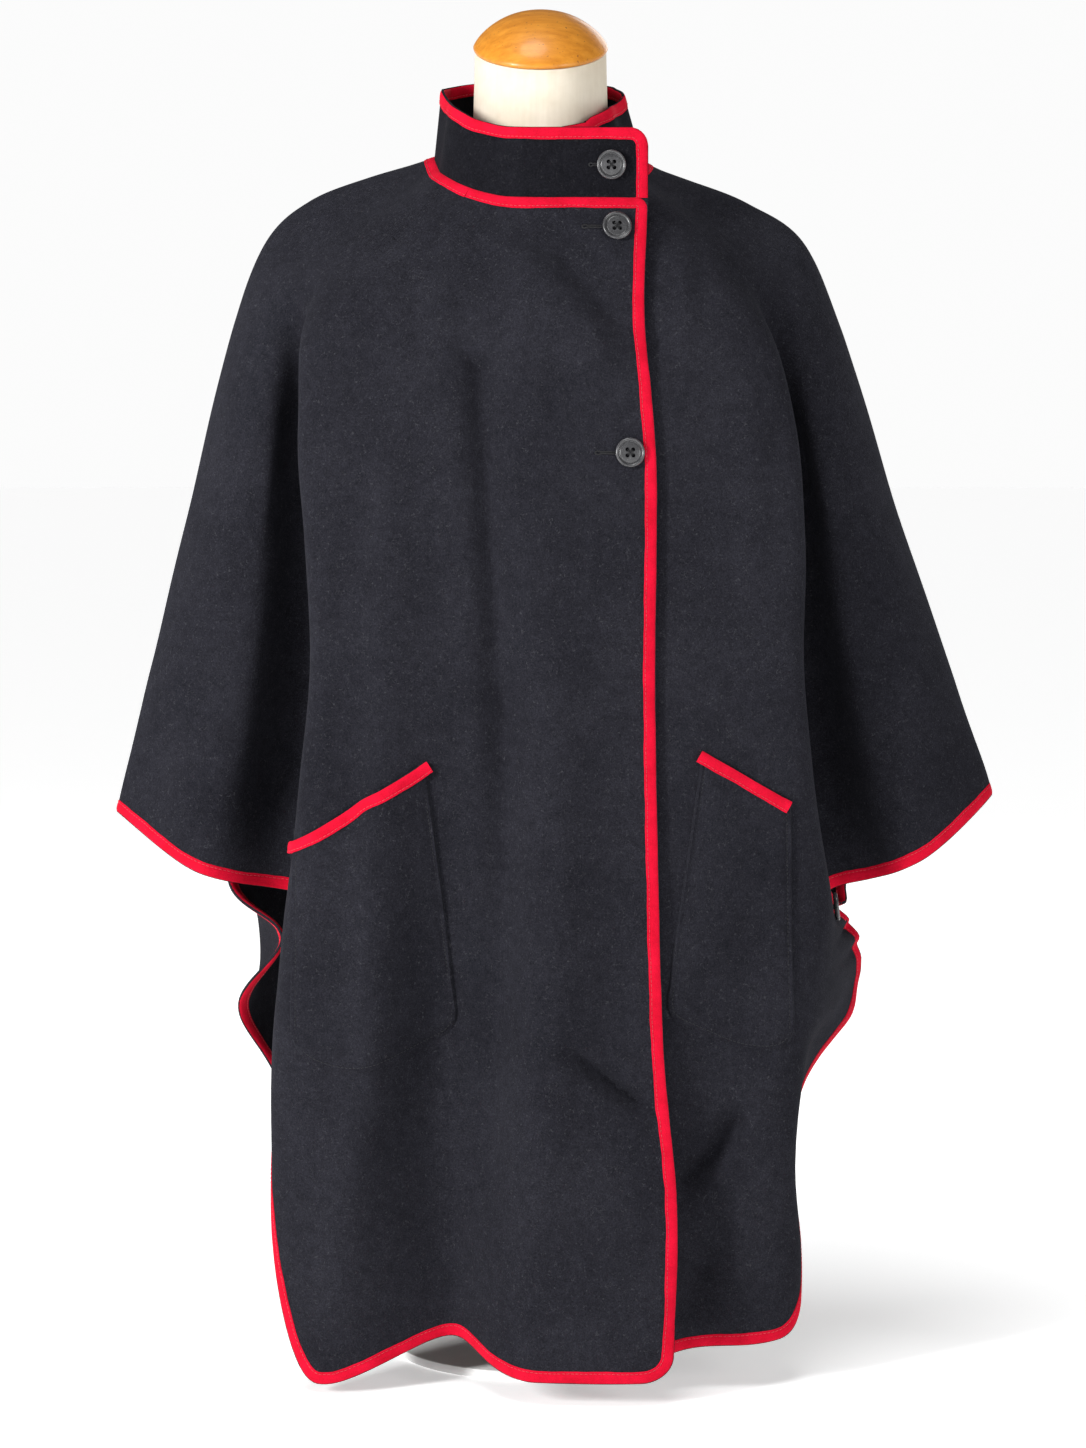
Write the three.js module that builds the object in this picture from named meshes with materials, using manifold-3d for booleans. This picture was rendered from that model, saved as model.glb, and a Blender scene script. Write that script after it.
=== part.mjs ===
// A wool cape coat with bound edges, hanging on a limbless dress form that stands on a round plate.
// Millimetres. +Z is up, -Y is the front of the coat and +X is the wearer's left side.
// The origin is the middle of the underside of the base plate.

import * as THREE from 'three';
import { mergeVertices } from 'three/addons/utils/BufferGeometryUtils.js';
import Module from 'manifold-3d';

const wasm = await Module();
wasm.setup();

// Cloth sizes
const CLOTH = 2.2; // thickness of the coating
const TAPE = 3.2; // thickness of the cloth edge with its binding round it
const TAPE_WIDTH = 10;
const GAP = 0.3; // between pieces that are sewn or lie together
const LAYER_OUT = 3.4; // how far the overlapping right front lies outside the common surface
const LAYER_IN = 2.6; // how far the left front lies inside it, under the right one

// Meridians run down from the neckline. On each side they are numbered from the centre front, 0,
// over the edge of the body's side fold, 3, the groove behind it, 4, the outer fold of the wing, 6,
// and the groove at the back, 8, to the centre back, 11. The wearer's right has negative numbers.
const GROOVE = 4;
const BACK_GROOVE = 8;
const BACK = 11;

// One row for each ring from the neckline down: heights at the centre front, back groove and centre
// back, the depths at the centre front and back, and how far the right front's edge reaches.
const RINGS = [
  { zFront: 976, zBackGroove: 1020, zBack: 1028, front: -90, back: 74, edge: 94 },
  { zFront: 928, zBackGroove: 990, zBack: 992, front: -108, back: 96, edge: 92 },
  { zFront: 880, zBackGroove: 948, zBack: 944, front: -121, back: 114, edge: 91 },
  { zFront: 826, zBackGroove: 900, zBack: 885, front: -132, back: 126, edge: 95 },
  { zFront: 760, zBackGroove: 825, zBack: 815, front: -142, back: 134, edge: 100 },
  { zFront: 680, zBackGroove: 735, zBack: 725, front: -151, back: 141, edge: 100 },
  { zFront: 590, zBackGroove: 622, zBack: 620, front: -159, back: 147, edge: 99 },
  { zFront: 500, zBackGroove: 505, zBack: 510, front: -166, back: 152, edge: 100 },
  { zFront: 405, zBackGroove: 402, zBack: 405, front: -172, back: 156, edge: 102 },
  { zFront: 335, zBackGroove: 360, zBack: 340, front: -176, back: 160, edge: 104 },
  { zFront: 268, zBackGroove: 290, zBack: 268, front: -180, back: 165, edge: 107 },
  { zFront: 150, zBackGroove: 205, zBack: 150, front: -187, back: 174, edge: 117 },
  { zFront: 17, zBackGroove: 40, zBack: 20, front: -193, back: 184, edge: 113 },
];

// For each ring, where the edge of the side fold, the groove, the wing's front, outer fold and back,
// the back groove and the back's corner lie, out from the middle (X), to the back (Y) and up (Z).
// Below the wing's hem, ring 8, its own columns only lead the surface on.
const RIGHT_FRONT = [
  { foldX: 60, foldY: -70, grooveX: 74, grooveY: -48, grooveZ: 998, wingY: -22, wingBackY: 30 },
  { foldX: 98, foldY: -86, grooveX: 114, grooveY: -64, grooveZ: 966, wingY: -36, wingBackY: 40 },
  { foldX: 142, foldY: -97, grooveX: 158, grooveY: -72, grooveZ: 926, wingY: -42, wingBackY: 47 },
  { foldX: 182, foldY: -104, grooveX: 192, grooveY: -74, grooveZ: 876, wingY: -48, wingBackY: 54 },
  { foldX: 190, foldY: -116, grooveX: 192, grooveY: -76, grooveZ: 805, wingY: -60, wingBackY: 66 },
  { foldX: 184, foldY: -126, grooveX: 182, grooveY: -72, grooveZ: 712, wingY: -66, wingBackY: 72 },
  { foldX: 180, foldY: -134, grooveX: 178, grooveY: -66, grooveZ: 612, wingY: -66, wingBackY: 72 },
  { foldX: 188, foldY: -140, grooveX: 186, grooveY: -58, grooveZ: 506, wingY: -62, wingBackY: 62 },
  { foldX: 199, foldY: -143, grooveX: 200, grooveY: -48, grooveZ: 398, wingY: -56, wingBackY: 46 },
  { foldX: 205, foldY: -143, grooveX: 202, grooveY: -46, grooveZ: 345, wingY: -50, wingBackY: 44 },
  { foldX: 210, foldY: -142, grooveX: 204, grooveY: -54, grooveZ: 298, wingY: -50, wingBackY: 44 },
  { foldX: 213, foldY: -136, grooveX: 208, grooveY: -62, grooveZ: 190, wingY: -50, wingBackY: 44 },
  { foldX: 213, foldY: -126, grooveX: 210, grooveY: -60, grooveZ: 30, wingY: -50, wingBackY: 44 },
];
const RIGHT_OUTER = [
  { tipX: 82, tipY: 4, tipZ: 1014, backGrooveX: 72, backGrooveY: 44, backX: 55, backY: 60 },
  { tipX: 138, tipY: 4, tipZ: 998, backGrooveX: 112, backGrooveY: 62, backX: 82, backY: 84 },
  { tipX: 188, tipY: 4, tipZ: 978, backGrooveX: 152, backGrooveY: 74, backX: 112, backY: 100 },
  { tipX: 223, tipY: 4, tipZ: 945, backGrooveX: 187, backGrooveY: 82, backX: 140, backY: 112 },
  { tipX: 250, tipY: 2, tipZ: 872, backGrooveX: 206, backGrooveY: 84, backX: 160, backY: 121 },
  { tipX: 276, tipY: 0, tipZ: 775, backGrooveX: 216, backGrooveY: 80, backX: 180, backY: 125 },
  { tipX: 303, tipY: 0, tipZ: 665, backGrooveX: 228, backGrooveY: 70, backX: 200, backY: 122 },
  { tipX: 328, tipY: 0, tipZ: 562, backGrooveX: 246, backGrooveY: 52, backX: 216, backY: 112 },
  { tipX: 354, tipY: 0, tipZ: 463, backGrooveX: 262, backGrooveY: 26, backX: 230, backY: 98 },
  { tipX: 354, tipY: 0, tipZ: 400, backGrooveX: 213, backGrooveY: -30, backX: 236, backY: 92 },
  { tipX: 354, tipY: 0, tipZ: 330, backGrooveX: 256, backGrooveY: 42, backX: 224, backY: 112 },
  { tipX: 354, tipY: 0, tipZ: 200, backGrooveX: 222, backGrooveY: 92, backX: 200, backY: 134 },
  { tipX: 354, tipY: 0, tipZ: 80, backGrooveX: 200, backGrooveY: 120, backX: 185, backY: 156 },
];
const LEFT_FRONT = [
  { foldX: 60, foldY: -70, grooveX: 78, grooveY: -48, grooveZ: 996, wingY: -22, wingBackY: 30 },
  { foldX: 98, foldY: -86, grooveX: 114, grooveY: -64, grooveZ: 966, wingY: -36, wingBackY: 40 },
  { foldX: 142, foldY: -97, grooveX: 158, grooveY: -72, grooveZ: 926, wingY: -42, wingBackY: 47 },
  { foldX: 190, foldY: -104, grooveX: 196, grooveY: -74, grooveZ: 876, wingY: -48, wingBackY: 54 },
  { foldX: 214, foldY: -112, grooveX: 210, grooveY: -76, grooveZ: 805, wingY: -60, wingBackY: 66 },
  { foldX: 218, foldY: -120, grooveX: 212, grooveY: -72, grooveZ: 712, wingY: -66, wingBackY: 72 },
  { foldX: 218, foldY: -128, grooveX: 212, grooveY: -66, grooveZ: 612, wingY: -66, wingBackY: 72 },
  { foldX: 226, foldY: -130, grooveX: 226, grooveY: -56, grooveZ: 506, wingY: -62, wingBackY: 62 },
  { foldX: 240, foldY: -118, grooveX: 254, grooveY: -40, grooveZ: 400, wingY: -54, wingBackY: 46 },
  { foldX: 234, foldY: -122, grooveX: 280, grooveY: -10, grooveZ: 354, wingY: -50, wingBackY: 44 },
  { foldX: 227, foldY: -128, grooveX: 280, grooveY: 6, grooveZ: 300, wingY: -50, wingBackY: 44 },
  { foldX: 219, foldY: -130, grooveX: 216, grooveY: -26, grooveZ: 232, wingY: -50, wingBackY: 44 },
  { foldX: 218, foldY: -120, grooveX: 214, grooveY: -50, grooveZ: 62, wingY: -50, wingBackY: 44 },
];
const LEFT_OUTER = [
  { tipX: 91, tipY: 4, tipZ: 1010, backGrooveX: 74, backGrooveY: 44, backX: 55, backY: 60 },
  { tipX: 132, tipY: 4, tipZ: 996, backGrooveX: 112, backGrooveY: 62, backX: 82, backY: 84 },
  { tipX: 181, tipY: 4, tipZ: 976, backGrooveX: 152, backGrooveY: 74, backX: 112, backY: 100 },
  { tipX: 226, tipY: 4, tipZ: 945, backGrooveX: 187, backGrooveY: 82, backX: 140, backY: 112 },
  { tipX: 257, tipY: 2, tipZ: 872, backGrooveX: 208, backGrooveY: 84, backX: 160, backY: 121 },
  { tipX: 287, tipY: 0, tipZ: 775, backGrooveX: 222, backGrooveY: 80, backX: 182, backY: 125 },
  { tipX: 323, tipY: 0, tipZ: 668, backGrooveX: 236, backGrooveY: 70, backX: 204, backY: 122 },
  { tipX: 358, tipY: 0, tipZ: 566, backGrooveX: 256, backGrooveY: 50, backX: 218, backY: 112 },
  { tipX: 389, tipY: 0, tipZ: 478, backGrooveX: 268, backGrooveY: 16, backX: 232, backY: 98 },
  { tipX: 388, tipY: 0, tipZ: 400, backGrooveX: 250, backGrooveY: 10, backX: 228, backY: 100 },
  { tipX: 388, tipY: 0, tipZ: 330, backGrooveX: 236, backGrooveY: 52, backX: 218, backY: 114 },
  { tipX: 388, tipY: 0, tipZ: 200, backGrooveX: 212, backGrooveY: 96, backX: 196, backY: 136 },
  { tipX: 388, tipY: 0, tipZ: 80, backGrooveX: 196, backGrooveY: 122, backX: 184, backY: 156 },
];
const RIGHT = RIGHT_FRONT.map((row, i) => ({ ...row, ...RIGHT_OUTER[i] }));
const LEFT = LEFT_FRONT.map((row, i) => ({ ...row, ...LEFT_OUTER[i] }));
const HEM_RING = RINGS.length - 1;
const WING_HEM_RING = 8;

// Soft folds in the common surface: meridian at the top and at the hem, half width in meridians,
// the rings where each starts and is full, how far it stands out, and how far it lifts the hem.
const FOLDS = [
  { top: -0.75, hem: -1.0, width: 0.62, from: 4, full: 12, out: -52, lift: 26 },
  { top: -2.1, hem: -2.25, width: 0.55, from: 6, full: 12, out: 10, lift: -14 },
  { top: 1.2, hem: 1.2, width: 0.9, from: 10, full: 12, out: 0, lift: 4 },
  { top: 1.5, hem: 1.7, width: 0.5, from: 8, full: 12, out: -16, lift: 4 },
  { top: -5, hem: -5, width: 0.5, from: 3, full: 8, out: 9, lift: -1 },
  { top: 5, hem: 5, width: 0.5, from: 3, full: 8, out: 9, lift: 2 },
  { top: -9.7, hem: -9.6, width: 0.42, from: 3, full: 12, out: -24, lift: 6 },
  { top: 9.7, hem: 9.6, width: 0.42, from: 3, full: 12, out: -24, lift: 6 },
  { top: -10.5, hem: -10.5, width: 0.36, from: 4, full: 12, out: 16, lift: 0 },
  { top: 10.5, hem: 10.5, width: 0.36, from: 4, full: 12, out: 16, lift: 0 },
  { top: 11, hem: 11, width: 0.42, from: 4, full: 12, out: -18, lift: 4 },
];

const mix = THREE.MathUtils.lerp;
const smooth = THREE.MathUtils.smoothstep;
const clamp = THREE.MathUtils.clamp;
const vector = (x, y, z) => new THREE.Vector3(x, y, z);
const shares = (count) => Array.from({ length: count + 1 }, (_, i) => i / count);

// How the meridians between those of the tables share the way from one to the next
const FRONT_SHARES = [0.36, 0.72]; // of the side fold's distance from the centre front
const FOLD_RISE = 0.6; // how far the side fold's height lies from the centre front's to the groove's
const WING_RISE = 0.33; // the same for the wing's front and back, from the groove's to the outer fold's
const BACK_SHARE = { x: 0.5, y: 0.27, z: 0.25 }; // between the centre back and the back's corner

// The point where meridian k crosses ring r. k may run past the centre back on both sides.
function control(k, r) {
  let meridian = k;
  if (k > BACK) meridian = k - 2 * BACK;
  if (k < -BACK) meridian = k + 2 * BACK;
  const side = meridian < 0 ? RIGHT[r] : LEFT[r];
  const sign = meridian < 0 ? -1 : 1;
  const ring = RINGS[r];
  const zFold = mix(ring.zFront, side.grooveZ, FOLD_RISE);
  const zCorner = mix(ring.zBackGroove, ring.zBack, 0.5);
  const across = (share) => [
    share * side.foldX,
    mix(ring.front, side.foldY, share * share),
    mix(ring.zFront, zFold, share * share),
  ];
  const places = [
    [0, ring.front, ring.zFront],
    ...FRONT_SHARES.map(across),
    [side.foldX, side.foldY, zFold],
    [side.grooveX, side.grooveY, side.grooveZ],
    [mix(side.grooveX, side.tipX, 0.5), side.wingY, mix(side.grooveZ, side.tipZ, WING_RISE)],
    [side.tipX, side.tipY, side.tipZ],
    [mix(side.backGrooveX, side.tipX, 0.5), side.wingBackY, mix(ring.zBackGroove, side.tipZ, WING_RISE)],
    [side.backGrooveX, side.backGrooveY, ring.zBackGroove],
    [side.backX, side.backY, zCorner],
    [
      BACK_SHARE.x * side.backX,
      mix(ring.back, side.backY, BACK_SHARE.y),
      mix(ring.zBack, zCorner, BACK_SHARE.z),
    ],
    [0, ring.back, ring.zBack],
  ];
  const [x, y, z] = places[Math.abs(meridian)];
  return vector(sign * x, y, z);
}

// Catmull-Rom weights of four neighbours, at share t between the middle two.
function weights(t) {
  const t2 = t * t;
  const t3 = t2 * t;
  return [(-t + 2 * t2 - t3) / 2, (2 - 5 * t2 + 3 * t3) / 2, (t + 4 * t2 - 3 * t3) / 2, (t3 - t2) / 2];
}

const FURTHEST = 2 * BACK + 2; // the collar's path runs once round, to this meridian
const meridians = new Map();
for (let k = -FURTHEST; k <= FURTHEST; k++) {
  meridians.set(k, RINGS.map((_, r) => control(k, r)));
}

// A point of the common surface before its folds, at meridian w and ring v.
function plain(w, v) {
  const k = Math.floor(w);
  const r = clamp(Math.floor(v), 0, HEM_RING - 1);
  const across = weights(w - k);
  const down = weights(v - r);
  const point = vector(0, 0, 0);
  for (let i = 0; i < 4; i++) {
    const line = meridians.get(k + i - 1);
    for (let j = 0; j < 4; j++) {
      const row = r + j - 1;
      let place = line[clamp(row, 0, HEM_RING)];
      if (row < 0) place = line[0].clone().multiplyScalar(2).sub(line[1]);
      if (row > HEM_RING) place = line[HEM_RING].clone().multiplyScalar(2).sub(line[HEM_RING - 1]);
      point.addScaledVector(place, across[i] * down[j]);
    }
  }
  return point;
}

// The outward direction of a surface, from two short steps over it.
function normalOf(surface, w, v) {
  const step = 0.02;
  const across = surface(w + step, v).sub(surface(w - step, v));
  const down = surface(w, v + step).sub(surface(w, v - step));
  return down.cross(across).normalize();
}

// The common surface: the plain one with its soft folds.
function base(w, v) {
  const point = plain(w, v);
  const out = normalOf(plain, w, v);
  for (const fold of FOLDS) {
    const growth = smooth(v, fold.from, fold.full) ** 1.3;
    const middle = mix(fold.top, fold.hem, v / HEM_RING);
    let away = Math.abs(w - middle) % (2 * BACK);
    away = Math.min(away, 2 * BACK - away);
    const bump = growth * Math.exp(-((away / fold.width) ** 2));
    point.addScaledVector(out, fold.out * bump);
    point.z += fold.lift * bump;
  }
  return point;
}

// The right front lies outside the common surface. Past the centre front it runs on as a flat flap.
const FLAP = 1.3; // the meridian number of its front edge
const FLAP_BOW = 6; // how far the edge bends back
const KICK = { from: 10, out: 16 }; // from this ring down the corner swings forward
function reach(v) {
  const r = clamp(Math.floor(v), 0, HEM_RING - 1);
  return weights(v - r).reduce((sum, part, j) => {
    const row = clamp(r + j - 1, 0, HEM_RING);
    return sum + part * RINGS[row].edge;
  }, 0);
}
function rightFront(w, v) {
  const lift = LAYER_OUT * smooth(w, -1.4, -0.2);
  const kick = KICK.out * smooth(v, KICK.from, HEM_RING) * smooth(w, -1, 1);
  if (w <= 0) {
    const point = base(w, v).addScaledVector(normalOf(base, w, v), lift);
    point.y -= kick;
    return point;
  }
  const middle = base(0, v).addScaledVector(normalOf(base, 0, v), lift);
  const share = w / FLAP;
  return vector(share * reach(v), middle.y - kick + FLAP_BOW * share * share, middle.z);
}
function leftFront(w, v) {
  const depth = LAYER_IN * (1 - smooth(w, 1.5, 2.4));
  return base(w, v).addScaledVector(normalOf(base, w, v), -depth);
}

// Seams as meridian numbers down the rings: each leaves the neckline and runs into the groove.
const frontSeam = (v) => mix(2.45, GROOVE, smooth(v, 1.5, 6.5));
const backSeam = (v) => mix(8.9, BACK_GROOVE, smooth(v, 1.5, 6.5));

// The place at (w, v) moved by a vector that lies along the surface.
function stepped(surface, [w, v], move) {
  const h = 0.01;
  const across = surface(w + h, v).sub(surface(w - h, v)).divideScalar(2 * h);
  const down = surface(w, v + h).sub(surface(w, v - h)).divideScalar(2 * h);
  const aa = across.dot(across);
  const ad = across.dot(down);
  const dd = down.dot(down);
  const ma = move.dot(across);
  const md = move.dot(down);
  const det = aa * dd - ad * ad;
  return [w + (ma * dd - md * ad) / det, v + (md * aa - ma * ad) / det];
}

// A line of places moved along the surface to its left, as seen from outside, with mitred corners.
const MITRE_LIMIT = 0.6;
function offset(surface, line, distance) {
  const points = line.map((place) => surface(...place));
  return line.map((place, i) => {
    const normal = normalOf(surface, ...place);
    const before = points[Math.max(i - 1, 0)];
    const after = points[Math.min(i + 1, line.length - 1)];
    const first = i > 0 ? points[i].clone().sub(before) : after.clone().sub(points[i]);
    const last = i < line.length - 1 ? after.clone().sub(points[i]) : first;
    const side = normal.clone().cross(first).normalize();
    const bisector = normal.clone().cross(last).normalize().add(side).normalize();
    const length = distance / Math.max(MITRE_LIMIT, bisector.dot(side));
    return stepped(surface, place, bisector.multiplyScalar(length));
  });
}

// The edge of the cloth along a seam, at ring v. turn is 1 where the cloth lies towards higher
// meridians and -1 where it lies towards lower ones.
function seamEdge(surface, seam, turn) {
  const h = 0.02;
  return (v) => {
    const line = [v - h, v, v + h].map((level) => [seam(level), level]);
    return offset(surface, line, (turn * GAP) / 2)[1];
  };
}

function volumeOf(points, index) {
  let sum = 0;
  for (let i = 0; i < index.length; i += 3) {
    const [a, b, c] = [points[index[i]], points[index[i + 1]], points[index[i + 2]]];
    sum += a.dot(b.clone().cross(c));
  }
  return sum / 6;
}

// A closed body from points and triangles, turned so that its faces look outward.
function closed(points, index) {
  if (volumeOf(points, index) < 0) index.reverse();
  const geometry = new THREE.BufferGeometry();
  const numbers = points.flatMap((p) => p.toArray());
  geometry.setAttribute('position', new THREE.Float32BufferAttribute(numbers, 3));
  geometry.setIndex(index);
  return geometry;
}

// The wall over a grid of places, from a low to a high distance off the surface. Every wall over the
// same places has its triangles over the same ones.
function shell(surface, grid, low, high) {
  const rows = grid.length;
  const columns = grid[0].length;
  const middle = grid.flat().map(([w, v]) => surface(w, v));
  const normals = grid.flat().map(([w, v]) => normalOf(surface, w, v));
  const lift = (distance) => middle.map((p, i) => p.clone().addScaledVector(normals[i], distance));
  const points = [...lift(high), ...lift(low)];
  const half = rows * columns;
  const index = [];
  for (let i = 0; i < rows - 1; i++) {
    for (let j = 0; j < columns - 1; j++) {
      const a = i * columns + j;
      const [b, c, d] = [a + columns, a + columns + 1, a + 1];
      const corners = middle[a].distanceTo(middle[c]) <= middle[b].distanceTo(middle[d])
        ? [a, b, c, a, c, d] : [a, b, d, b, c, d];
      index.push(...corners, ...corners.map((n) => half + n).reverse());
    }
  }
  const rim = [];
  for (let j = 0; j < columns; j++) rim.push(j);
  for (let i = 1; i < rows; i++) rim.push(i * columns + columns - 1);
  for (let j = columns - 2; j >= 0; j--) rim.push((rows - 1) * columns + j);
  for (let i = rows - 2; i > 0; i--) rim.push(i * columns);
  rim.forEach((a, n) => {
    const b = rim[(n + 1) % rim.length];
    const [c, d] = [half + b, half + a];
    const shorter = points[a].distanceTo(points[c]) <= points[b].distanceTo(points[d]);
    index.push(...(shorter ? [a, b, c, a, c, d] : [a, b, d, b, c, d]));
  });
  return closed(points, index);
}
const cloth = (surface, grid) => shell(surface, grid, -CLOTH / 2, CLOTH / 2);

// The binding along a boundary line that has the cloth on its left.
// An end that meets a seam is cut along it; seamed gives the place there for a ring. Another end is
// cut square.
function binding(surface, line, startSeamed, endSeamed) {
  const outer = line.slice();
  const inner = offset(surface, line, TAPE_WIDTH);
  const last = line.length - 1;
  for (const [end, next, seamed] of [[0, 1, startSeamed], [last, last - 1, endSeamed]]) {
    const back = surface(...line[next]).sub(surface(...line[end])).setLength(GAP / 2);
    for (const edge of [outer, inner]) {
      edge[end] = seamed ? seamed(edge[end][1]) : stepped(surface, edge[end], back);
    }
  }
  return shell(surface, outer.map((place, i) => [place, inner[i]]), -TAPE / 2, TAPE / 2);
}

// Places inside four lines of them: top and bottom from left to right, left and right downwards.
function filled(top, bottom, left, right) {
  const columns = top.length - 1;
  const rows = left.length - 1;
  return shares(rows).map((b, i) => shares(columns).map((a, j) => [0, 1].map((n) => {
    const sides = mix(left[i][n], right[i][n], a) + mix(top[j][n], bottom[j][n], b);
    const upper = mix(top[0][n], top[columns][n], a);
    const lower = mix(bottom[0][n], bottom[columns][n], a);
    return sides - mix(upper, lower, b);
  })));
}

const group = new THREE.Group();
const FINISH = {
  coating: { color: 0x1b1c22, roughness: 0.95, metalness: 0 },
  binding: { color: 0xc8102e, roughness: 0.8, metalness: 0 },
  button: { color: 0x161617, roughness: 0.35, metalness: 0 },
  linen: { color: 0xd9cdb4, roughness: 0.9, metalness: 0 },
  wood: { color: 0xd9913a, roughness: 0.4, metalness: 0 },
  plate: { color: 0xe8e8e6, roughness: 0.5, metalness: 0 },
};
const MATERIALS = Object.fromEntries(
  Object.entries(FINISH).map(([name, look]) => [name, new THREE.MeshStandardMaterial(look)]));
function add(name, geometry, finish) {
  const mesh = new THREE.Mesh(geometry, MATERIALS[finish]);
  mesh.name = name;
  group.add(mesh);
}

// A rounded lower corner from the side to the hem, in two halves that share its middle.
const CORNER_STEPS = 3;
function corner(edge, radiusW, radiusV) {
  const all = shares(2 * CORNER_STEPS).map((share) => {
    const angle = (share * Math.PI) / 2;
    const v = HEM_RING - radiusV * (1 - Math.sin(angle));
    return [edge(v) + radiusW * (1 - Math.cos(angle)), v];
  });
  return { upper: all.slice(0, CORNER_STEPS + 1), lower: all.slice(CORNER_STEPS) };
}

// A panel between two sides. A side is a seam down to the wing's hem with a free edge below it, or
// a free edge all the way. The cloth lies towards higher meridians from the left side.
const ROWS = 22;
const FREE_ROWS = 9; // rows below the wing's hem
const TAPE_RING = WING_HEM_RING - 0.1; // the upper edge of the binding on the wing's hem, at a seam
const SEAM_ROWS = ROWS - FREE_ROWS - 2;
const NECK_STEP = 13; // the neckline's first step from a free edge, longer than the binding is wide
const seamLevels = shares(SEAM_ROWS).map((t) => t * TAPE_RING);
function sideOf({ seam, edge, radius }, inwards) {
  const bend = corner(edge, inwards * radius[0], radius[1]);
  const start = seam ? WING_HEM_RING : 0;
  const straight = shares(seam ? FREE_ROWS - CORNER_STEPS : ROWS - CORNER_STEPS)
    .map((t) => mix(start, HEM_RING - radius[1], t)).map((v) => [edge(v), v]);
  return {
    seam: seam ? [...seamLevels, WING_HEM_RING].map((v) => [seam(v), v]) : [],
    free: [...straight.slice(0, -1), ...bend.upper],
    bend,
  };
}
function panel(name, surface, { left, right, columns }) {
  const a = sideOf(left, 1);
  const b = sideOf(right, -1);
  const leftSeamed = left.seam && seamEdge(surface, left.seam, 1);
  const rightSeamed = right.seam && seamEdge(surface, right.seam, -1);
  const first = a.seam[0] ?? a.free[0];
  const last = b.seam[0] ?? b.free[0];
  // the share of the neckline that such a step takes, measured over a fifth of it
  const span = (start, end) => {
    const fifth = surface(mix(start[0], end[0], 1 / 5), 0);
    return NECK_STEP / surface(...start).distanceTo(fifth) / 5;
  };
  const from = left.seam ? 1 / columns : span(first, last);
  const to = right.seam ? 1 / columns : span(last, first);
  const between = shares(columns - 2).map((t) => [mix(first[0], last[0], mix(from, 1 - to, t)), 0]);
  const neck = [first, ...between, last];
  const flat = shares(columns - 2 * CORNER_STEPS)
    .map((t) => [mix(a.bend.lower.at(-1)[0], b.bend.lower.at(-1)[0], t), HEM_RING]);
  const hem = [...a.bend.lower, ...flat.slice(1, -1), ...b.bend.lower.slice().reverse()];
  hem[0] = a.free.at(-1);
  hem[columns] = b.free.at(-1);

  const neckBack = neck.slice().reverse();
  const open = [...a.free, ...hem.slice(1), ...b.free.slice(0, -1).reverse()];
  let run = open;
  if (left.seam && right.seam) {
    add(`${name}_neck_binding`, binding(surface, neckBack, rightSeamed, leftSeamed), 'binding');
  } else {
    run = left.seam ? [...open, ...neckBack.slice(1)] : [...neckBack.slice(0, -1), ...open];
  }
  const ends = left.seam ? [null, right.seam ? null : leftSeamed] : [rightSeamed, null];
  add(`${name}_binding`, binding(surface, run, ...ends), 'binding');

  const inset = TAPE_WIDTH + GAP;
  const moved = new Map();
  offset(surface, neckBack, inset).forEach((place, i) => moved.set(neckBack[i], place));
  offset(surface, run, inset).forEach((place, i) => moved.set(run[i], place));
  const down = (side, seamed) => {
    const free = side.free.map((place) => moved.get(place));
    if (!seamed) return free;
    const up = surface(...side.free[0]).sub(surface(...side.free[1])).setLength(GAP);
    const levels = [moved.get(side.seam[0])[1], ...seamLevels.slice(1), WING_HEM_RING];
    const seam = levels.map(seamed);
    seam.push(stepped(surface, seam.pop(), up));
    free[0] = stepped(surface, free[0], up);
    return [...seam, ...free];
  };
  const leftLine = down(a, leftSeamed);
  const rightLine = down(b, rightSeamed);
  const top = neck.map((place) => moved.get(place));
  top[0] = leftLine[0];
  top[columns] = rightLine[0];
  const grid = filled(top, hem.map((place) => moved.get(place)), leftLine, rightLine);
  add(name, cloth(surface, grid), 'coating');
  return grid;
}

// Towards the hem the free side edge of each front comes forward to its fold.
const sideEdge = (at) => (v) => mix(GROOVE, at, smooth(v, 9.5, HEM_RING));
const fronts = {
  right: panel('front_right', rightFront, {
    left: { seam: (v) => -frontSeam(v), edge: (v) => -sideEdge(2.82)(v), radius: [0.55, 0.72] },
    right: { edge: () => FLAP, radius: [0.3, 0.16] },
    columns: 20,
  }),
  left: panel('front_left', leftFront, {
    left: { edge: () => -0.5, radius: [0.3, 0.16] },
    right: { seam: frontSeam, edge: sideEdge(3.3), radius: [0.65, 0.38] },
    columns: 18,
  }),
};
panel('back', base, {
  left: { seam: backSeam, edge: () => BACK_GROOVE, radius: [0.7, 0.3] },
  right: { seam: (v) => 2 * BACK - backSeam(v), edge: () => 2 * BACK - BACK_GROOVE, radius: [0.7, 0.3] },
  columns: 30,
});

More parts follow.
